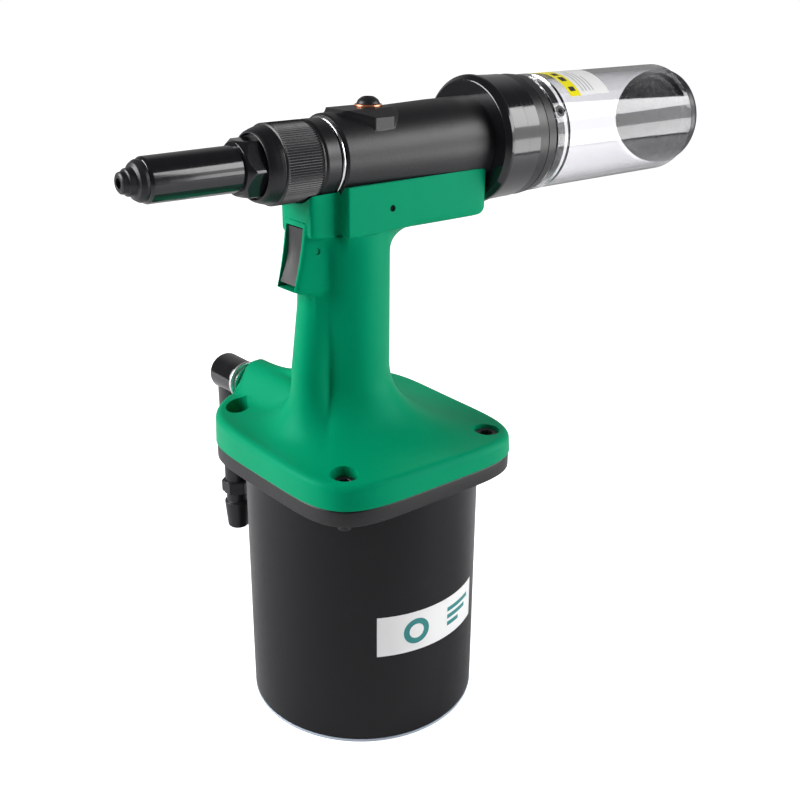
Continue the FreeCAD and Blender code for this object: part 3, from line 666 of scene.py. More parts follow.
SADDLE_TOP = 232.7
SADDLE_HALF = 15.9
SADDLE_FRONT = low("head_body")[0] + 12.0
SADDLE_END = high("handle_cover")[0]
SWEEP_TOP = 158.0          # where the base's sweep has become the grip
FILLET_HEIGHT = 10.0       # between the grip and the saddle's underside
RIM_ROUND = 3.2            # rounding of the base's upper edge
SKIRT_DRAFT = 0.35         # how far the base's side wall leans in
RIM_LEVEL = 129.0          # height of the base's rim at its middle, and how it tilts
RIM_TILT = 0.02
SWELL = (4.5, -32.0, 15.0, 22.0, 6.0)  # height, x and its spread, y and its spread
HUMP_HALF = 14.5           # of the hump over the inlet
HUMP_RISE = 10.2           # of its top above the inlet's axis
HUMP_FADE = (6.5, 2.5)     # y where it fades, and over how much


def ellipse_reach(angle, centre, length, width):
    """Farther crossing of a ray from the grip's middle line with an ellipse, or 0 if it misses."""
    c, s = np.cos(angle), np.sin(angle)
    offset = GRIP_MIDDLE - centre
    square = c ** 2 / length ** 2 + s ** 2 / width ** 2
    linear = 2 * offset * c / length ** 2
    constant = offset ** 2 / length ** 2 - 1
    under = linear ** 2 - 4 * square * constant
    return np.where(under > 0, (np.sqrt(np.maximum(under, 0)) - linear) / (2 * square), 0.0)


def grip_radius(angle, z):
    """A wide rear lobe and a narrow front lobe that leans forward towards the base."""
    face, height, lean = GRIP_FRONT
    front = face - lean * (height - z)
    front_lobe = ellipse_reach(angle, front + GRIP_FRONT_RADIUS, GRIP_FRONT_RADIUS, GRIP_FRONT_RADIUS)
    return soft_max(ellipse_reach(angle, *GRIP_REAR), front_lobe, 0.8)


def wall_radius(angle, walls, power):
    """Reach to the nearest of some upright walls, each (normal x, normal y, distance), with
    rounded corners: the reaches' reciprocals are added as powers. A higher power is sharper."""
    total = 0.0
    for normal_x, normal_y, distance in walls:
        facing = np.maximum(normal_x * np.cos(angle) + normal_y * np.sin(angle), 0.0)
        total = total + (facing / distance) ** power
    return total ** (-1 / power)


def saddle_radius(angle):
    """Outline of the block under the barrel."""
    return wall_radius(angle, [(1, 0, SADDLE_END - GRIP_MIDDLE), (-1, 0, GRIP_MIDDLE - SADDLE_FRONT),
                               (0, 1, SADDLE_HALF), (0, -1, SADDLE_HALF)], 26.0)


def housing_radius(angle, z):
    """Trigger housing, wider towards the back, with a curved front that ends in a chin."""
    rise = np.clip((z - CHIN) / (HOUSING_TOP - CHIN), 0, 1)
    chin = np.clip((CHIN - z) / CHIN_HEIGHT, 0, 1)
    front = HOUSING_FRONT + 7.6 * rise - 2.4 * rise ** 2 + chin * CHIN_DEPTH
    half = HOUSING_HALF - 1.2 * chin
    return wall_radius(angle, [(-1, 0, GRIP_MIDDLE - front), (-HOUSING_TAPER, 1, half),
                               (-HOUSING_TAPER, -1, half), (1, 0, 6.0)], 22.0)


def hood_radius(angle, z):
    """Block under the lock nut; facets below its sides narrow it down to the trigger housing."""
    facet = np.maximum(FACET_REACH + FACET_SLOPE * (z - HOOD_MIDDLE), 1.0)
    return wall_radius(angle, [(-1, 0, HOOD_REACH), (0, 1, HOOD_HALF), (0, -1, HOOD_HALF),
                               (-HOOD_TAPER, 1, facet), (-HOOD_TAPER, -1, facet), (1, 0, 4.0)], 24.0)


def rim_height(x, y):
    """Top of the base's side wall: a tilted plane with a low swell, and a hump over the air inlet."""
    height, swell_x, spread_x, swell_y, spread_y = SWELL
    swell = height * np.exp(-((x - swell_x) / spread_x) ** 2) / (1.0 + np.exp(-(y - swell_y) / spread_y))
    plane = RIM_LEVEL - RIM_TILT * x + RIM_TILT * y + swell
    return soft_max(plane, inlet_hump(x, y), 1.6)


def inlet_hump(x, y):
    """Height of the round-backed hump that holds the inlet: it fades towards the grip's far side."""
    fade_y, fade_width = HUMP_FADE
    across = np.abs(x - (INLET[0] + 2.5)) / HUMP_HALF
    inside = 1.0 / (1.0 + np.exp(-(y - fade_y) / fade_width))
    return FLANGE_TOP + (INLET[2] + HUMP_RISE - FLANGE_TOP) * np.exp(-across ** 2.2) * inside


def cover_bearings(count):
    """Bearings spread so that the base's and the saddle's outlines are both evenly divided."""
    fine = np.linspace(0, 2 * math.pi, 6001)
    steps = []
    for reach, weight in ((superellipse(fine, COVER_HALF, COVER_POWER), 1.0), (saddle_radius(fine), 1.3),
                          (hood_radius(fine, HOOD_MIDDLE), 1.6)):
        turn = np.hypot(np.diff(reach), reach[1:] * np.diff(fine))
        steps.append(weight * turn)
    travelled = np.concatenate([[0], np.cumsum(np.max(steps, axis=0))])
    return np.interp(np.linspace(0, travelled[-1], count, endpoint=False), travelled, fine)


def cover_rows(angle):
    """The cover as outlines from its foot to the cradle under the barrel. Each bearing has its own
    upright profile: skirt, rounded rim, concave sweep, grip, fillet, underside and side."""
    c, s = np.cos(angle)[None, :], np.sin(angle)[None, :]
    base = superellipse(angle, COVER_HALF, COVER_POWER)[None, :]
    rim = rim_height(base * c, base * s)
    rows = []

    def outline(radius, z, shift):
        """A row of points about a middle that shifts from the base's to the grip's."""
        x = GRIP_MIDDLE * shift + radius * c
        y = radius * s
        return np.stack([x, y, z + 0 * x], axis=-1)

    foot = FLANGE_TOP + GAP
    wall = foot + 0.5
    for inset, rise in ((9.0, 0.0), (1.5, 0.0), (0.5, 0.0), (0.15, 0.15), (0.0, 0.5)):
        rows.append(outline(base - inset, foot + rise, 0.0))
    for part in np.linspace(0.08, 1.0, 8):
        rows.append(outline(base - SKIRT_DRAFT * part, wall + (rim - RIM_ROUND - wall) * part, 0.0))
    for turn in np.linspace(0, QUARTER, 8)[1:]:
        inset = SKIRT_DRAFT + RIM_ROUND * (1 - math.cos(turn))
        rows.append(outline(base - inset, rim - RIM_ROUND + RIM_ROUND * math.sin(turn), 0.0))

    edge = base - SKIRT_DRAFT - RIM_ROUND
    grip = grip_radius(angle, SWEEP_TOP)[None, :]
    for turn in np.linspace(0, QUARTER, 62)[1:]:
        inward = math.sin(turn) ** 0.92
        rise = 1 - math.cos(turn) ** 0.92
        row = outline(edge + (grip - edge) * inward, rim + (SWEEP_TOP - rim) * rise, inward)
        x, y, z = row[..., 0], row[..., 1], row[..., 2]
        row[..., 2] = np.minimum(soft_max(z, np.where(y > 0, inlet_hump(x, y), 0), 1.2), SWEEP_TOP)
        rows.append(row)

    fillet_foot = SADDLE_BOTTOM - FILLET_HEIGHT
    levels = np.concatenate([np.arange(SWEEP_TOP + 1.2, 189.0, 1.2), np.arange(189.0, 196.0, 0.45),
                             np.arange(196.0, fillet_foot - 0.3, 0.8)])
    for z in levels:
        radius = soft_max(grip_radius(angle, z), housing_radius(angle, z), BLEND)
        rows.append(outline(radius[None, :], z, 1.0))

    rows += list(saddle_rows(angle, outline, fillet_foot))
    return np.concatenate([row.reshape(1, -1, 3) for row in rows])


def saddle_rows(angle, outline, fillet_foot):
    """Rows shared out evenly along each bearing's profile: a quarter ellipse from the grip to the
    underside, the flat underside, a rounded lower edge, the side, and the rim down to the cradle."""
    grip = grip_radius(angle, fillet_foot)
    target = soft_max(saddle_radius(angle), hood_radius(angle, HOOD_MIDDLE), BLEND)
    reach = target - grip
    fillet = 0.62 * np.sign(reach) * np.minimum(np.abs(reach), 19.0)
    corner = 0.3 * np.sign(reach) * np.minimum(np.abs(reach), 11.0)
    flat = reach - fillet - corner
    side_top = SADDLE_TOP - 0.6
    lengths = np.array([QUARTER * (np.abs(fillet) + FILLET_HEIGHT) / 2, np.abs(flat) + 1e-6,
                        QUARTER * np.abs(corner) + 1e-6, side_top - SADDLE_BOTTOM - np.abs(corner)])
    starts = np.concatenate([np.zeros((1, len(angle))), np.cumsum(lengths, axis=0)])
    for part in np.linspace(0, 1, 86):
        gone = part * starts[-1]
        share = np.clip((gone - starts[:-1]) / lengths, 0, 1)
        radius = grip + fillet * (1 - np.cos(QUARTER * share[0])) + flat * share[1]
        radius = radius + corner * np.sin(QUARTER * share[2])
        z = fillet_foot + FILLET_HEIGHT * np.sin(QUARTER * share[0])
        z = z + np.abs(corner) * (1 - np.cos(QUARTER * share[2])) + lengths[3] * share[3]
        housing = housing_radius(angle, np.minimum(z, HOUSING_TOP + 0.6)) * (z < HOUSING_TOP + 1.5)
        radius = soft_max(soft_max(radius, housing, BLEND), hood_radius(angle, z), BLEND)
        yield cradled(outline(radius[None, :], z[None, :], 1.0))
    radius = soft_max(target, hood_radius(angle, SADDLE_TOP), BLEND)
    for inset, rise in ((0.18, 0.42), (0.6, 0.6), (1.2, 0.6)):
        yield cradled(outline(radius[None, :] - inset, side_top + rise, 1.0))
    for share in np.linspace(0.9, 0.1, 12):
        yield cradled(outline((radius[None, :] - 1.2) * share, SADDLE_TOP, 1.0))


CRADLE_FLOOR = 16.6        # from the barrel's axis down to the cover's closing point


def cradle_height(x, y):
    """Underside of the barrel, or of the lock nut further forward, less a small gap."""
    tube = 16.4 + np.clip((x - SADDLE_FRONT) / 53.0, 0, 1) * 1.6
    radius = np.where(x > SADDLE_FRONT - 0.2, tube + 0.1, 15.5)
    inside = np.maximum(radius ** 2 - y ** 2, 0.0)
    return np.where(inside > 0, BARREL[2] - np.sqrt(inside), SADDLE_TOP + 1.0)


def cradled(row):
    """A row with its heights kept under the cradle."""
    row[..., 2] = np.minimum(row[..., 2], cradle_height(row[..., 0], row[..., 1]))
    return row


def prism_across(name, outline, half_width):
    """A closed (x, z) outline carried straight across from one side to the other."""
    points = np.array(outline, dtype=float)
    middle = points.mean(axis=0)
    rows = np.stack([np.stack([points[:, 0], np.full(len(points), y), points[:, 1]], axis=-1)
                     for y in (-half_width, half_width)])
    start = np.array([middle[0], -half_width, middle[1]])
    return skin(name, rows, start, start + [0, 2 * half_width, 0])


def cover_cutters():
    """Trigger slot, screw wells and pin holes."""
    slot_outline = rounded([(-45, 193.7), (-27.6, 193.7), (-22.9, 203.0), (-22.9, 213.5), (-27.6, 217.7),
                            (-45, 217.7)], 0.5, True)
    cutters = [prism_across("slot_cutter", slot_outline, 5.5)]
    seat = low("screw_washers")[2] + 0.02
    well_radius, pin_radius, reach = 5.65, 1.35, 40
    for place in screw_places():
        cutters.append(drill("well_cutter", seat, seat + reach, well_radius, place, ALONG_Z, 48))
    for x, z, inner in ((3.5, 222.4, 13.6), (-27.0, 208.5, 7.45)):
        for side in (-1, 1):
            cutters.append(drill("pin_cutter", side * inner, side * reach, pin_radius, np.array([x, 0.0, z]),
                                 ALONG_Y, 32))
    return cutters


def drill(name, start, end, radius, origin, axis, segments):
    """A plain cylinder that cuts a hole."""
    return turned(name, [(start, 0), (start, radius), (end, radius), (end, 0)], origin, axis, segments, 0.02)


def screw_places():
    """Feet of the four cover screws' axes."""
    return [np.array([x, y, 0.0]) for x in (-SCREW_HALF, SCREW_HALF) for y in (-SCREW_HALF, SCREW_HALF)]


# ---------------------------------------------------------------- screws
def socket_head(name, centre, axis, profile, flats, depth, chamfer=0.4, segments=72):
    """A round head with a hexagon socket: the rows run down the head's turned profile from its rim
    to the socket's mouth, then as hexagons to the socket's floor."""
    outline = rounded(profile, chamfer, closed=False)[1:]
    rows = turned_rows(outline, centre, axis, segments)
    first, second = cross_axes(axis)
    angle = np.arange(segments) * 2 * math.pi / segments
    around = np.cos(angle)[:, None] * first + np.sin(angle)[:, None] * second
    top = outline[-1][0]
    reach = hexagon(angle, flats)[:, None]
    mouth = centre + (top - 0.02) * axis + around * (reach + 0.25)
    throat = centre + (top - 0.3) * axis + around * reach
    floor = centre + (top - depth) * axis + around * reach
    rows = np.concatenate([rows, [mouth, throat, floor]])
    return skin(name, rows, centre + outline[0][0] * axis, centre + (top - depth - 0.4) * axis, sharp=30.0)


# ---------------------------------------------------------------- studio
ROOM_LIGHT = 0.06          # of the room, beside which straight sight is one
PAPER_LIGHT = 0.3
PAPER_SIDE = (0.6, 0.72, -0.35)        # pale paper low behind the gun
# name, place and aim in metres, size in metres, power in watts
LAMPS = (
    ("left_softbox", (-0.84, 0.5, 0.6), (0.0, 0.0, 0.15), (0.6, 0.8), 16.5),
    ("right_upper_softbox", (0.52, -0.52, 0.61), (0.12, -0.15, 0.61), (0.62, 0.36), 4.6),
    ("right_middle_softbox", (0.52, -0.52, 0.335), (0.12, -0.15, 0.335), (0.62, 0.19), 0.7),
    ("right_lower_softbox", (0.52, -0.52, 0.135), (0.12, -0.15, 0.135), (0.62, 0.21), 2.0),
)


# ---------------------------------------------------------------- operators
class RIVETGUN_OT_stage(bpy.types.Operator):
    """Pale floor, soft light and the camera"""

    bl_idname = "rivet_gun.stage"
    bl_label = "Stage"

    def execute(self, context):
        scene = context.scene
        scene.view_settings.view_transform = "Standard"
        half = 4.0
        corners = [(-half, -half, 0), (half, -half, 0), (half, half, 0), (-half, half, 0)]
        mesh = bpy.data.meshes.new("floor")
        mesh.from_pydata(corners, [], [(0, 1, 2, 3)])
        floor = bpy.data.objects.new("floor", mesh)
        mesh.materials.append(finish("floor"))
        scene.collection.objects.link(floor)
        scene.world = self.backdrop()
        for name, place, aim, size, power in LAMPS:
            light = bpy.data.lights.new(name, "AREA")
            light.shape = "RECTANGLE"
            light.size, light.size_y = size
            light.energy = power
            lamp = bpy.data.objects.new(name, light)
            lamp.location = place
            lamp.rotation_euler = (Vector(aim) - Vector(place)).to_track_quat("-Z", "Y").to_euler()
            lamp.visible_camera = False
            scene.collection.objects.link(lamp)
        self.add_camera(scene)
        return {"FINISHED"}

    def backdrop(self):
        """White where it is seen straight or through clear plastic; as a light it is a dim grey room
        with pale paper on one side."""
        world = bpy.data.worlds.new("studio")
        world.use_nodes = True
        tree = world.node_tree
        toward = tree.nodes.new("ShaderNodeVectorMath")
        toward.operation = "DOT_PRODUCT"
        toward.inputs[1].default_value = PAPER_SIDE
        tree.links.new(tree.nodes.new("ShaderNodeTexCoord").outputs["Generated"], toward.inputs[0])
        paper = tree.nodes.new("ShaderNodeMapRange")
        paper.interpolation_type = "SMOOTHSTEP"
        paper_edge, paper_full = 0.15, 0.6
        for name, value in (("From Min", paper_edge), ("From Max", paper_full), ("To Min", ROOM_LIGHT),
                            ("To Max", PAPER_LIGHT), ("Value", toward.outputs["Value"])):
            plug(tree, value, paper.inputs[name])
        strength = math_in(tree, "MAXIMUM", seen_straight(tree), paper.outputs["Result"])
        background = tree.nodes["Background"]
        background.inputs["Color"].default_value = (1, 1, 1, 1)
        tree.links.new(strength, background.inputs["Strength"])
        return world

    def add_camera(self, scene):
        """Camera at a given place, turned by its right and forward directions."""
        data = bpy.data.cameras.new("camera")
        data.lens = sizes().lens
        data.sensor_width = 36.0
        data.clip_start = 0.01
        camera = bpy.data.objects.new("camera", data)
        right = Vector((0.76954, -0.63855, 0.00852))
        ahead = Vector((0.59374, 0.71050, -0.37772))
        up = right.cross(ahead)
        turn = Matrix((right, up, -ahead)).transposed().to_4x4()
        camera.matrix_world = Matrix.Translation((-0.25905, -0.33541, 0.31133)) @ turn
        scene.collection.objects.link(camera)
        scene.camera = camera


class RIVETGUN_OT_handle_cover(bpy.types.Operator):
    """Green cover: base skirt, grip, trigger housing and saddle as one moulded surface"""

    bl_idname = "rivet_gun.handle_cover"
    bl_label = "Handle Cover"

    def execute(self, context):
        angle = cover_bearings(sizes().cover_columns)
        rows = cover_rows(angle)
        foot = np.array([0.0, 0.0, FLANGE_TOP + GAP])
        crest = np.array([GRIP_MIDDLE, 0.0, BARREL[2] - CRADLE_FLOOR])
        cover = skin("handle_cover_shell", rows, foot, crest, sharp=50.0)
        carve(cover, cover_cutters(), sharp=40.0)
        settle(cover, "frame", "green_cover", "green", "handle_cover")
        return {"FINISHED"}


class RIVETGUN_OT_air_cylinder(bpy.types.Operator):
    """Air cylinder, its base pad and the square flange above it"""

    bl_idname = "rivet_gun.air_cylinder"
    bl_label = "Air Cylinder"

    def execute(self, context):
        radius = radius_of("air_cylinder")
        inner = radius - 3
        start, end = low("air_cylinder")[2], high("air_cylinder")[2]
        origin = np.zeros(3)
        sleeve = [(start, inner), (start, radius), (end, radius), (end, inner)]
        piece = turned("cylinder_sleeve", sleeve, origin, ALONG_Z, 256, 0.5)
        settle(piece, "frame", "black_sleeve", "sleeve", "air_cylinder")
        pad = [(0, 0), (0, radius - 0.6), (0.6, radius), (start - GAP, radius), (start - GAP, inner - 0.1),
               (start + 1.5, inner - 0.1), (start + 1.5, 0)]
        piece = turned("cylinder_pad", pad, origin, ALONG_Z, 256, 0.3)
        settle(piece, "frame", "pad", "pad", "base_pad")
        self.add_flange()
        return {"FINISHED"}

    def add_flange(self):
        """The flange's outline is a superellipse; its edges are rounded by small insets."""
        columns = 360
        angle = np.arange(columns) * 2 * math.pi / columns
        reach = superellipse(angle, radius_of("base_flange"), 4.9)
        under, over = high("air_cylinder")[2], FLANGE_TOP
        round_off = 0.8
        turns = np.linspace(0, QUARTER, 5)
        lower = [(round_off * (1 - math.sin(turn)), under + round_off * (1 - math.cos(turn)))
                 for turn in turns]
        upper = [(round_off * (1 - math.cos(turn)), over - round_off + round_off * math.sin(turn))
                 for turn in turns]
        rows = [(24.0, under), (4.0, under)] + lower + upper + [(4.0, over), (24.0, over)]
        grid = np.stack([np.stack([(reach - inset) * np.cos(angle), (reach - inset) * np.sin(angle),
                                   np.full(len(angle), z)], axis=-1) for inset, z in rows])
        piece = skin("square_flange", grid, np.array([0, 0, under]), np.array([0, 0, over]))
        settle(piece, "frame", "black_casting", "casting", "base_flange")


class RIVETGUN_OT_head(bpy.types.Operator):
    """Barrel casting with the pad for the bleed screw, the screw and its washer"""

    bl_idname = "rivet_gun.head"
    bl_label = "Head Casting"

    def execute(self, context):
        front, rear, bore = SADDLE_FRONT, low("rear_collar")[0], 12.0
        shoulder = (front + 0.8, 16.45)
        tube = denser([(front, bore), (front, 15.9), shoulder], 0.8)
        tube = tube + denser([shoulder, (15, 17.3), (35, 17.9), (rear, 18.0)], 0.45)[1:]
        tube = np.array(tube + [np.array([rear, bore])])
        rows = turned_rows(tube, BARREL, ALONG_X, 300, self.boss)
        barrel = skin("head_barrel", rows, ring=True, sharp=32.0)
        settle(barrel, "frame", "black_casting", "casting", "head_body")
        seat = low("bleed_washer")[2]
        place = np.array([BLEED[0], 0.0, 0.0])
        head = seat + 0.9
        washer = [(seat, 3.0), (seat, 5.3), (head, 5.3), (head, 3.0)]
        piece = turned("copper_washer", washer, place, ALONG_Z, 96, 0.25)
        settle(piece, "frame", "copper", "copper", "bleed_washer")
        button = [(head, 0), (head, 4.5), (head + 0.5, 4.5), (head + 1.5, 3.95), (head + 2.3, 2.9),
                  (head + 2.7, 2.1)]
        piece = socket_head("bleed_screw_head", place, ALONG_Z, button, 3.0, 1.9, 0.5)
        settle(piece, "frame", "black_oxide", "oxide", "bleed_screw")
        return {"FINISHED"}

    @staticmethod
    def boss(along, angle, radius):
        """Extra radius of the bleed pad: a flat top, side walls that close in towards the front,
        and sloping ends; the pad counts only where it stands out of the tube."""
        top = low("bleed_washer")[2] - BARREL[2]
        upward = np.maximum(np.cos(angle), 1e-3)
        aside = np.maximum(np.abs(np.sin(angle)), 1e-3)
        half = np.interp(along, [-16, -12, -3, 6, 12], [3.0, 6.0, 13.4, 13.4, 9.0])
        slope_start, slope_lean = 2.6, 0.385
        slope = (top + slope_start) / (upward + slope_lean * aside)
        flat = np.minimum(np.minimum(top / upward, slope), half / aside)
        ends = np.interp(along, [-16.2, -11.5, 10.4, 12.2], [-2.4, 0.0, 0.0, -2.6])
        pad = np.where(np.cos(angle) > 0.2, flat + ends, 0.0)
        inside = (along > SADDLE_FRONT + 1.0) & (along < 13.0)
        return np.where(inside & (pad > radius), pad - radius, 0.0)


HEXAGON_START, HEXAGON_END = -57.0, -48.0
HEXAGON_CORNER = 12.2      # radius of the bar that the flats are cut from


class RIVETGUN_OT_nose(bpy.types.Operator):
    """Nosepiece, nose housing and the hexagon behind it"""

    bl_idname = "rivet_gun.nose"
    bl_label = "Nose"

    def execute(self, context):
        tip = low("nosepiece")[0]
        face = low("nose_housing")[0]
        bore, wall, socket = 1.8, 7.0, 6.2
        nose = [(tip, bore), (tip, 2.9), (tip + 0.5, 3.7), (tip + 2.2, 4.0), (tip + 2.6, 4.7),
                (tip + 4.8, 5.0), (tip + 5.4, 6.4), (tip + 6.9, 7.3), (face, 7.3), (face, socket),
                (face + 4.9, socket), (face + 6.1, 3.6), (face + 6.1, bore)]
        piece = turned("nose_tip", nose, segments=128, size=0.22)
        settle(piece, "frame", "black_oxide", "oxide", "nosepiece")
        rear, spigot_end, socket_end = HEXAGON_START, -51, -88
        barrel = [(face, socket), (face, 7.4), (face + 0.9, 8.1), (rear - 3.0, 8.4), (rear, 8.4), (rear, 7.9),
                  (spigot_end, 7.9), (spigot_end, wall), (socket_end, wall), (socket_end, socket)]
        piece = turned("nose_barrel", barrel, segments=160, size=sizes().edge_round)
        settle(piece, "frame", "black_gloss", "gloss", "nose_housing")
        neck = [(rear, 7.9), (rear, 9.5)]
        neck += denser([(rear + 0.05, HEXAGON_CORNER), (HEXAGON_END - 0.1, HEXAGON_CORNER)], 0.35)
        neck += [(HEXAGON_END, 9.4), (-38, 9.4), (-38, 12), (-30, 12), (-30, wall), (spigot_end, wall),
                 (spigot_end, 7.9)]
        neck = np.array([tuple(point) for point in neck])
        rows = turned_rows(neck, BARREL, ALONG_X, 240, self.flats)
        piece = skin("nose_hexagon", rows, ring=True, sharp=24.0)
        settle(piece, "frame", "black_gloss", "gloss", "nose_adapter")
        return {"FINISHED"}

    @staticmethod
    def flats(along, angle, radius):
        """Hexagon flats, with their corners turned off, and by a cone at the front."""
        reach = hexagon(angle, 20.0)
        cone = 9.55 + 0.72 * np.maximum(along - HEXAGON_START, 0.0)
        shaped = np.minimum(np.minimum(reach, cone), 11.35)
        return np.where((along < HEXAGON_END - 0.05) & (radius > 12.0), shaped - radius, 0.0)


class RIVETGUN_OT_lock_nut(bpy.types.Operator):
    """Knurled lock nut and the bright ring behind it"""

    bl_idname = "rivet_gun.lock_nut"
    bl_label = "Lock Nut"

    def execute(self, context):
        start, end = span_x("lock_nut")
        radius = radius_of("lock_nut")
        self.knurl_start, self.knurl_end = start + 6.6, start + 22.4
        seat, bore, neck = -38.1, 12.1, 9.5
        outside = [(start + 2.2, neck), (start + 2.2, 11.8), (start + 0.1, 11.8), (start, 12.2),
                   (start + 0.9, 12.95), (start + 2.6, 13.6), (start + 4.6, 14.15), (start + 6.1, 14.4),
                   (start + 6.25, 14.15), (start + 6.5, radius - 0.1)]
        ribs = denser([(self.knurl_start, radius), (self.knurl_end, radius)], 0.4)
        rest = [(start + 22.7, radius - 0.35), (start + 23.3, radius - 0.5), (start + 23.9, radius - 0.15),
                (start + 24.3, radius), (end - 0.7, radius), (end, radius - 0.6), (end, bore), (seat, bore),
                (seat, neck)]
        profile = np.concatenate([rounded(outside, 0.4, False), ribs, rounded(rest, 0.25, False)])
        rows = turned_rows(profile, BARREL, ALONG_X, sizes().knurl_ribs * 6, self.ribs)
        nut = skin("knurled_nut", rows, ring=True, sharp=30.0)
        settle(nut, "lock_nut", "black_gloss", "satin", "lock_nut")
        ring = chamfered(*span_x("lock_ring"), 12, radius_of("lock_ring"), 0.3)
        piece = turned("bright_ring", ring, segments=200, size=0.15)
        settle(piece, "frame", "bright", "bright", "lock_ring")
        return {"FINISHED"}

    def ribs(self, along, angle, radius):
        """Straight ribs: the depth follows a sharpened cosine of the angle, faded in at both ends."""
        wave = 0.5 + 0.5 * np.cos(sizes().knurl_ribs * angle)
        depth = sizes().knurl_depth * (1 - wave ** 1.6)
        run_out = 0.5
        inside = np.clip((along - self.knurl_start) / run_out, 0, 1)
        inside = inside * np.clip((self.knurl_end - along) / run_out, 0, 1)
        return -depth * inside


SPIGOT = 21.96             # radius that the latch ring and the container's ring turn on


class RIVETGUN_OT_rear_rings(bpy.types.Operator):
    """Rear collar, exhaust ring and the latch ring that turns on the spigot under the container"""

    bl_idname = "rivet_gun.rear_rings"
    bl_label = "Rear Rings"

    def execute(self, context):
        start = low("rear_collar")[0]
        shoulder, last = span_x("exhaust_ring")
        end = shoulder - 0.06
        collar = [(start, 12), (start, 24.3), (start + 0.5, 24.8), (start + 1.9, 26.1), (start + 2.9, 26.3),
                  (start + 3.5, 26.3), (start + 3.9, 25.75), (end, 25.6), (end, 12)]
        edges = (0.3, 0.3, 0.12, 0.12, 0.3, 0.2, 0.2, 0.06, 0.3)
        piece = turned("head_collar", collar, segments=256, size=edges)
        settle(piece, "frame", "black_casting", "gloss", "rear_collar")
        change, bore = shoulder + 6.8, 22
        ring = [(shoulder, bore), (shoulder, 25.5), (change, 25.5), (change, bore)]
        piece = turned("gloss_ring", ring, segments=256, size=0.06)
        settle(piece, "frame", "black_gloss", "gloss", "exhaust_ring")
        ring = [(change + 0.02, bore), (change + 0.02, 25.3), (last, 25.3), (last, bore)]
        piece = turned("dull_ring", ring, segments=256, size=0.15)
        settle(piece, "frame", "black_gloss", "satin")
        first, last = span_x("latch_ring")
        ring = [(first, SPIGOT), (first, 25.35), (last - 0.5, 24.85), (last, 24.3), (last, SPIGOT)]
        piece = turned("turning_ring", ring, segments=256, size=0.12)
        settle(piece, "latch_ring", "smoke", "satin", "latch_ring")
        return {"FINISHED"}


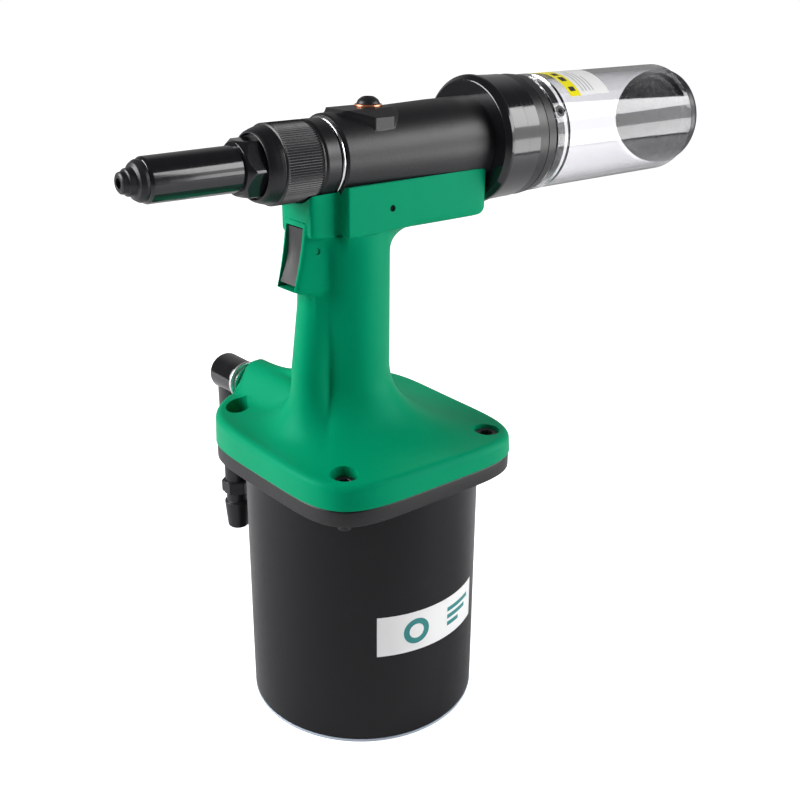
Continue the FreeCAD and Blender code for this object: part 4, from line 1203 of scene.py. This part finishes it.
class RIVETGUN_OT_container(bpy.types.Operator):
    """Clear collection container with its front ring, end cap, screw and labels"""

    bl_idname = "rivet_gun.container"
    bl_label = "Container"

    def execute(self, context):
        first, last = span_x("container_ring")
        radius = radius_of("collection_container")
        inner = radius - 2.2
        ring = [(first, SPIGOT), (first, 24.2), (first + 0.5, 24.7), (last - 0.4, 24.7), (last, 24.3),
                (last, SPIGOT)]
        piece = turned("container_front_ring", ring, segments=256, size=0.25)
        middle, axis = self.screw_place()
        carve(piece, [drill("screw_hole", -4.0, 4.0, 2.45, middle, axis, 48)])
        settle(piece, "container", "smoke", "clear", "container_ring")
        start, end = span_x("collection_container")
        rim = end - 2.4
        tube = [(start + GAP, inner), (start + GAP, radius), (rim - 2.0, radius), (rim, radius - 1.5),
                (rim, inner)]
        piece = turned("clear_tube", tube, segments=256, size=0.35)
        settle(piece, "container", "clear", "clear", "collection_container")
        self.add_cap(inner, rim)
        self.add_screw()
        self.add_labels(radius)
        return {"FINISHED"}

    def add_cap(self, inner, rim):
        """A disc with a raised ring on its inside and a stepped edge that closes the tube."""
        start, end = span_x("end_cap")
        disc, edge = 20.0, inner - GAP
        cap = [(start, 0), (start, 7.0), (start + 0.7, 7.4), (start + 0.7, 17.2), (start + 0.3, 17.6),
               (start + 0.3, disc - 0.4), (start + 0.7, disc), (rim - 1.3, disc), (rim - 1.0, edge),
               (end - 2.4, edge), (end - 0.8, inner - 0.5), (end, inner - 1.4), (end, 16.0),
               (end - 0.5, 15.4), (end - 0.5, 0)]
        piece = turned("container_end_cap", cap, segments=256, size=0.4)
        settle(piece, "container", "black_plastic", "cap", "end_cap")

    @staticmethod
    def screw_place():
        """The set screw's middle and the direction out of the barrel's axis through it."""
        middle = middle_of("set_screw")
        axis = middle - np.array([middle[0], 0.0, BARREL[2]])
        return middle, axis / np.linalg.norm(axis)

    def add_screw(self):
        """The set screw in its dark insert."""
        middle, axis = self.screw_place()
        head = [(-0.9, 0), (-0.9, 1.15), (0.75, 1.15), (0.9, 0.95)]
        insert = [(-1.4, 1.2), (-1.4, 2.42), (0.85, 2.42), (1.1, 2.2), (1.1, 1.45), (0.9, 1.2)]
        piece = turned("screw_insert", insert, middle, axis, 64, 0.08)
        settle(piece, "container", "smoke", "oxide")
        piece = socket_head("container_set_screw", middle, axis, head, 1.1, 0.8, 0.15, 48)
        settle(piece, "container", "black_oxide", "oxide", "set_screw")

    def add_labels(self, radius):
        """A yellow and a white film side by side on the tube."""
        first, last = span_x("container_label")
        split = first + 6.5
        angles = (math.radians(-18), math.radians(48))
        strips = [("label_yellow_band", first, split, "yellow", "label_yellow"),
                  ("label_white_band", split, last, "white", "label_yellow")]
        for name, start, end, look, slot in strips:
            strip = curved_strip(name, BARREL, ALONG_X, radius, (start, end), angles)
            nodes = ("container_label",) if look == "yellow" else ()
            settle(strip, "container", slot, look, *nodes)
        self.add_marks(first, radius + 0.12)

    @staticmethod
    def add_marks(edge, radius):
        """Plain blocks and bars: places along from the label's edge, and bearings in degrees."""
        blocks = [(1.6, 4.9, 36, 42), (1.6, 4.9, 19, 27), (1.6, 4.9, 8, 15)]
        bars = [(9.0, 9.6, 12, 43), (11.2, 11.8, 5, 43), (13.4, 14.0, 12, 43), (15.6, 16.2, 20, 43)]
        for number, (start, end, first, last) in enumerate(blocks + bars, 1):
            strip = curved_strip("mark_%d" % number, BARREL, ALONG_X, radius, (edge + start, edge + end),
                                 (math.radians(first), math.radians(last)), 0.02, 16)
            settle(strip, "container", "label_yellow", "seal" if number <= len(blocks) else "pale_print")


class RIVETGUN_OT_trigger(bpy.types.Operator):
    """Trigger lever with a hollowed finger face"""

    bl_idname = "rivet_gun.trigger"
    bl_label = "Trigger"

    def execute(self, context):
        bend = np.linspace(0, 1, 22)[:, None]
        # places on the finger face
        top, middle, foot = np.array([(-31.0, 217.0), (-32.0, 206.3), (-35.55, 195.6)])
        control = 2 * middle - (top + foot) / 2
        face = (1 - bend) ** 2 * top + 2 * bend * (1 - bend) * control + bend ** 2 * foot
        back = [(-33.0, 195.2), (-29.5, 198.5), (-29.5, 204.0), (-28.4, 206.1), (-24.9, 206.7),
                (-24.4, 208.5), (-25.4, 211.6), (-28.0, 216.6)]
        outline = np.concatenate([face, back])
        half = radius_of("trigger")
        centre = np.array([-30.0, 206.5])
        toward = centre - outline
        toward = toward / np.linalg.norm(toward, axis=1, keepdims=True)
        side = [(half, 0.45), (half - 0.12, 0.18), (half - 0.45, 0.0), (half * 0.5, 0.0)]
        stations = [(-across, inset) for across, inset in side] + [(0, 0.0)] + side[::-1]
        rows = []
        for across, inset in stations:
            ring = outline + toward * inset
            hollow = 0.35 * (1 - (across / half) ** 2)
            ring[:len(face), 0] += hollow * np.sin(math.pi * bend[:, 0])
            rows.append(np.stack([ring[:, 0], np.full(len(ring), across), ring[:, 1]], axis=-1))
        rows = np.stack(rows)
        start = np.array([centre[0], -half, centre[1]])
        piece = skin("trigger_lever", rows, start, start + [0, 2 * half, 0], sharp=30.0)
        settle(piece, "trigger", "trigger_grey", "trigger", "trigger")
        return {"FINISHED"}


class RIVETGUN_OT_cover_screws(bpy.types.Operator):
    """Socket screws in the cover's wells, with their washers"""

    bl_idname = "rivet_gun.cover_screws"
    bl_label = "Cover Screws"

    def execute(self, context):
        washer_low, washer_high = low("screw_washers")[2], high("screw_washers")[2]
        foot, end = low("cover_screws")[2], high("cover_screws")[2]
        under = washer_low + 0.03
        head = [(foot, 0), (foot, 2.9), (washer_high, 2.9), (washer_high + GAP, SCREW_HEAD),
                (end, SCREW_HEAD), (end, 3.6)]
        ring = [(under, 3.0), (under, 5.5), (washer_high, 5.5), (washer_high, 3.0)]
        for number, place in enumerate(screw_places(), 1):
            screw = socket_head("cover_screw_%d" % number, place, ALONG_Z, head, 5.0, 3.0, 0.5)
            washer = turned("screw_washer_%d" % number, ring, place, ALONG_Z, 72, 0.15)
            first = number == 1
            settle(screw, "frame", "black_oxide", "oxide", *(("cover_screws",) if first else ()))
            settle(washer, "frame", "steel", "steel", *(("screw_washers",) if first else ()))
        return {"FINISHED"}


PLUG_HEXAGON = 6.2         # height of the hexagon on the coupling plug


class RIVETGUN_OT_inlet(bpy.types.Operator):
    """Swivelling air inlet with its quick-coupling plug"""

    bl_idname = "rivet_gun.inlet"
    bl_label = "Air Inlet"

    def execute(self, context):
        place = np.array([INLET[0], 0.0, INLET[2]])
        ring = chamfered(low("inlet_ring")[1], high("inlet_ring")[1], 5, radius_of("inlet_ring", 0), 0.4)
        piece = turned("inlet_bright_ring", ring, place, ALONG_Y, 128, 0.2)
        settle(piece, "frame", "bright", "alloy", "inlet_ring")
        start, end = low("swivel_elbow")[1], high("swivel_elbow")[1]
        hub = [(start, 0), (start, 7.8), (start + 0.5, 8.2), (end - 3.2, 8.2), (end - 2.2, 7.6),
               (end - 1.8, 6.4), (end - 1.8, 3.0), (end - 2.3, 2.4), (end - 2.3, 0)]
        piece = turned("swivel_hub", hub, place, ALONG_Y, 128, 0.4)
        settle(piece, "swivel", "black_gloss", "gloss", "swivel_elbow")
        column = np.array([PLUG[0], PLUG[1], 0.0])
        foot = low("swivel_elbow")[2]
        leg = [(foot, 0), (foot, 5.6), (foot + 0.5, 6.0), (INLET[2], 6.0), (INLET[2], 0)]
        piece = turned("swivel_leg", leg, column, ALONG_Z, 96, 0.4)
        settle(piece, "swivel", "black_gloss", "gloss")
        self.add_plug(column)
        return {"FINISHED"}

    def add_plug(self, column):
        """The hexagon under the leg and the coupling plug below it."""
        bottom, top = low("plug_nut")[2], high("plug_nut")[2]
        bore, corner, hexagon_top = 2.6, 7.4, bottom + PLUG_HEXAGON
        shape = denser([(bottom, bore), (bottom, corner)], 2)
        shape += denser([(bottom + 0.05, corner), (hexagon_top, corner)], 0.4)
        shape += [(hexagon_top + 0.05, 5.2), (top, 5.2), (top, bore)]
        shape = np.array([tuple(point) for point in shape])
        rows = turned_rows(shape, column, ALONG_Z, 180, self.flats(bottom))
        piece = skin("plug_hexagon", rows, ring=True, sharp=24.0)
        settle(piece, "swivel", "black_oxide", "oxide", "plug_nut")
        tip = low("air_plug")[2]
        plug = [(tip, bore), (tip, 4.3), (tip + 0.7, 4.9), (tip + 12.6, 5.9), (tip + 13.6, 5.9),
                (tip + 13.9, 4.9), (bottom, 4.9), (bottom, bore)]
        piece = turned("coupling_plug", plug, column, ALONG_Z, 96, 0.4)
        settle(piece, "swivel", "black_oxide", "oxide", "air_plug")

    @staticmethod
    def flats(bottom):
        """Hexagon flats with turned corners, above a given height."""
        def change(along, angle, radius):
            near = np.minimum(along - bottom, bottom + PLUG_HEXAGON - along)
            cone = 5.9 + 1.8 * np.maximum(near, 0)
            shaped = np.minimum(np.minimum(hexagon(angle, 12.0), cone), 6.9)
            return np.where(radius > 7.0, shaped - radius, 0.0)
        return change


class RIVETGUN_OT_cylinder_label(bpy.types.Operator):
    """Plain sticker on the air cylinder, with generic printed bars"""

    bl_idname = "rivet_gun.cylinder_label"
    bl_label = "Cylinder Label"

    def execute(self, context):
        radius = radius_of("air_cylinder")
        bottom, top = low("cylinder_label")[2], high("cylinder_label")[2]
        origin = np.zeros(3)
        angles = (math.radians(-121), math.radians(-59))
        sheet = curved_strip("cylinder_sticker", origin, ALONG_Z, radius, (bottom, top), angles)
        settle(sheet, "frame", "label_white", "white", "cylinder_label")
        self.add_print(radius + 0.12, (bottom + top) / 2)
        return {"FINISHED"}

    def add_print(self, radius, middle):
        """A plain ring and three bars in one colour."""
        marks = [("label_bar_top", -82, -64, 2.6, 4.6), ("label_bar_middle", -82, -67, -0.9, 1.1),
                 ("label_bar_low", -82, -73, -4.4, -2.4)]
        for name, first, last, low_edge, high_edge in marks:
            strip = curved_strip(name, np.zeros(3), ALONG_Z, radius, (middle + low_edge, middle + high_edge),
                                 (math.radians(first), math.radians(last)), 0.03, 24)
            settle(strip, "frame", "label_white", "teal")
        ring = wrapped_ring("label_ring", radius, math.radians(-101), middle, 3.4, 6.0)
        settle(ring, "frame", "label_white", "teal")


KEPT_NODES = {
    "steel": ("ram_rod", "piston_nut", "valve_stem", "valve_spring", "inlet_stem", "jaw_case",
              "pull_piston", "mandrel_tube", "jaw_pusher", "jaw_a", "jaw_b", "jaw_c", "jaw_spring",
              "return_spring"),
    "alloy": ("cylinder_floor", "ram_gland", "air_piston", "valve_body"),
    "seal": ("cylinder_seal", "ram_seal", "air_piston_seal", "front_rod_seal", "pull_piston_seal",
             "container_seal"),
    "oxide": ("column_screws",),
    "pin": ("saddle_pins", "trigger_pin"),
    "black_plastic": ("container_seat",),
}


class RIVETGUN_OT_kept_nodes(bpy.types.Operator):
    """Finishes of the inner parts whose CAD shape is kept"""

    bl_idname = "rivet_gun.kept_nodes"
    bl_label = "Inner Parts"

    def execute(self, context):
        for look, nodes in KEPT_NODES.items():
            for name in nodes:
                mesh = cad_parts[name].data
                mesh.materials.clear()
                mesh.materials.append(finish(look))
        return {"FINISHED"}


class RIVETGUN_PT_panel(bpy.types.Panel):
    """Lists the pieces and their settings"""

    bl_idname = "RIVETGUN_PT_panel"
    bl_label = "Rivet Gun"
    bl_space_type = "VIEW_3D"
    bl_region_type = "UI"
    bl_category = "Rivet Gun"

    def draw(self, context):
        for group in (context.scene.rivet_gun_sizes, context.scene.rivet_gun_colours):
            for name in group.bl_rna.properties.keys():
                if name not in ("rna_type", "name"):
                    self.layout.prop(group, name)
        for operator in OPERATORS:
            self.layout.operator(operator.bl_idname)


OPERATORS = (RIVETGUN_OT_stage, RIVETGUN_OT_air_cylinder, RIVETGUN_OT_handle_cover,
             RIVETGUN_OT_cover_screws, RIVETGUN_OT_trigger, RIVETGUN_OT_inlet, RIVETGUN_OT_head,
             RIVETGUN_OT_nose, RIVETGUN_OT_lock_nut, RIVETGUN_OT_rear_rings, RIVETGUN_OT_container,
             RIVETGUN_OT_cylinder_label, RIVETGUN_OT_kept_nodes)
CLASSES = (RivetGunSizes, RivetGunColours, *OPERATORS, RIVETGUN_PT_panel)


def register():
    """Adds the classes and their settings."""
    for entry in CLASSES:
        bpy.utils.register_class(entry)
    bpy.types.Scene.rivet_gun_sizes = PointerProperty(type=RivetGunSizes)
    bpy.types.Scene.rivet_gun_colours = PointerProperty(type=RivetGunColours)


def unregister():
    """Takes them away again."""
    del bpy.types.Scene.rivet_gun_colours
    del bpy.types.Scene.rivet_gun_sizes
    for entry in reversed(CLASSES):
        bpy.utils.unregister_class(entry)


def main():
    """Builds every piece in order."""
    register()
    for operator in OPERATORS:
        group, name = operator.bl_idname.split(".")
        getattr(getattr(bpy.ops, group), name)()


if __name__ == "__main__":
    main()
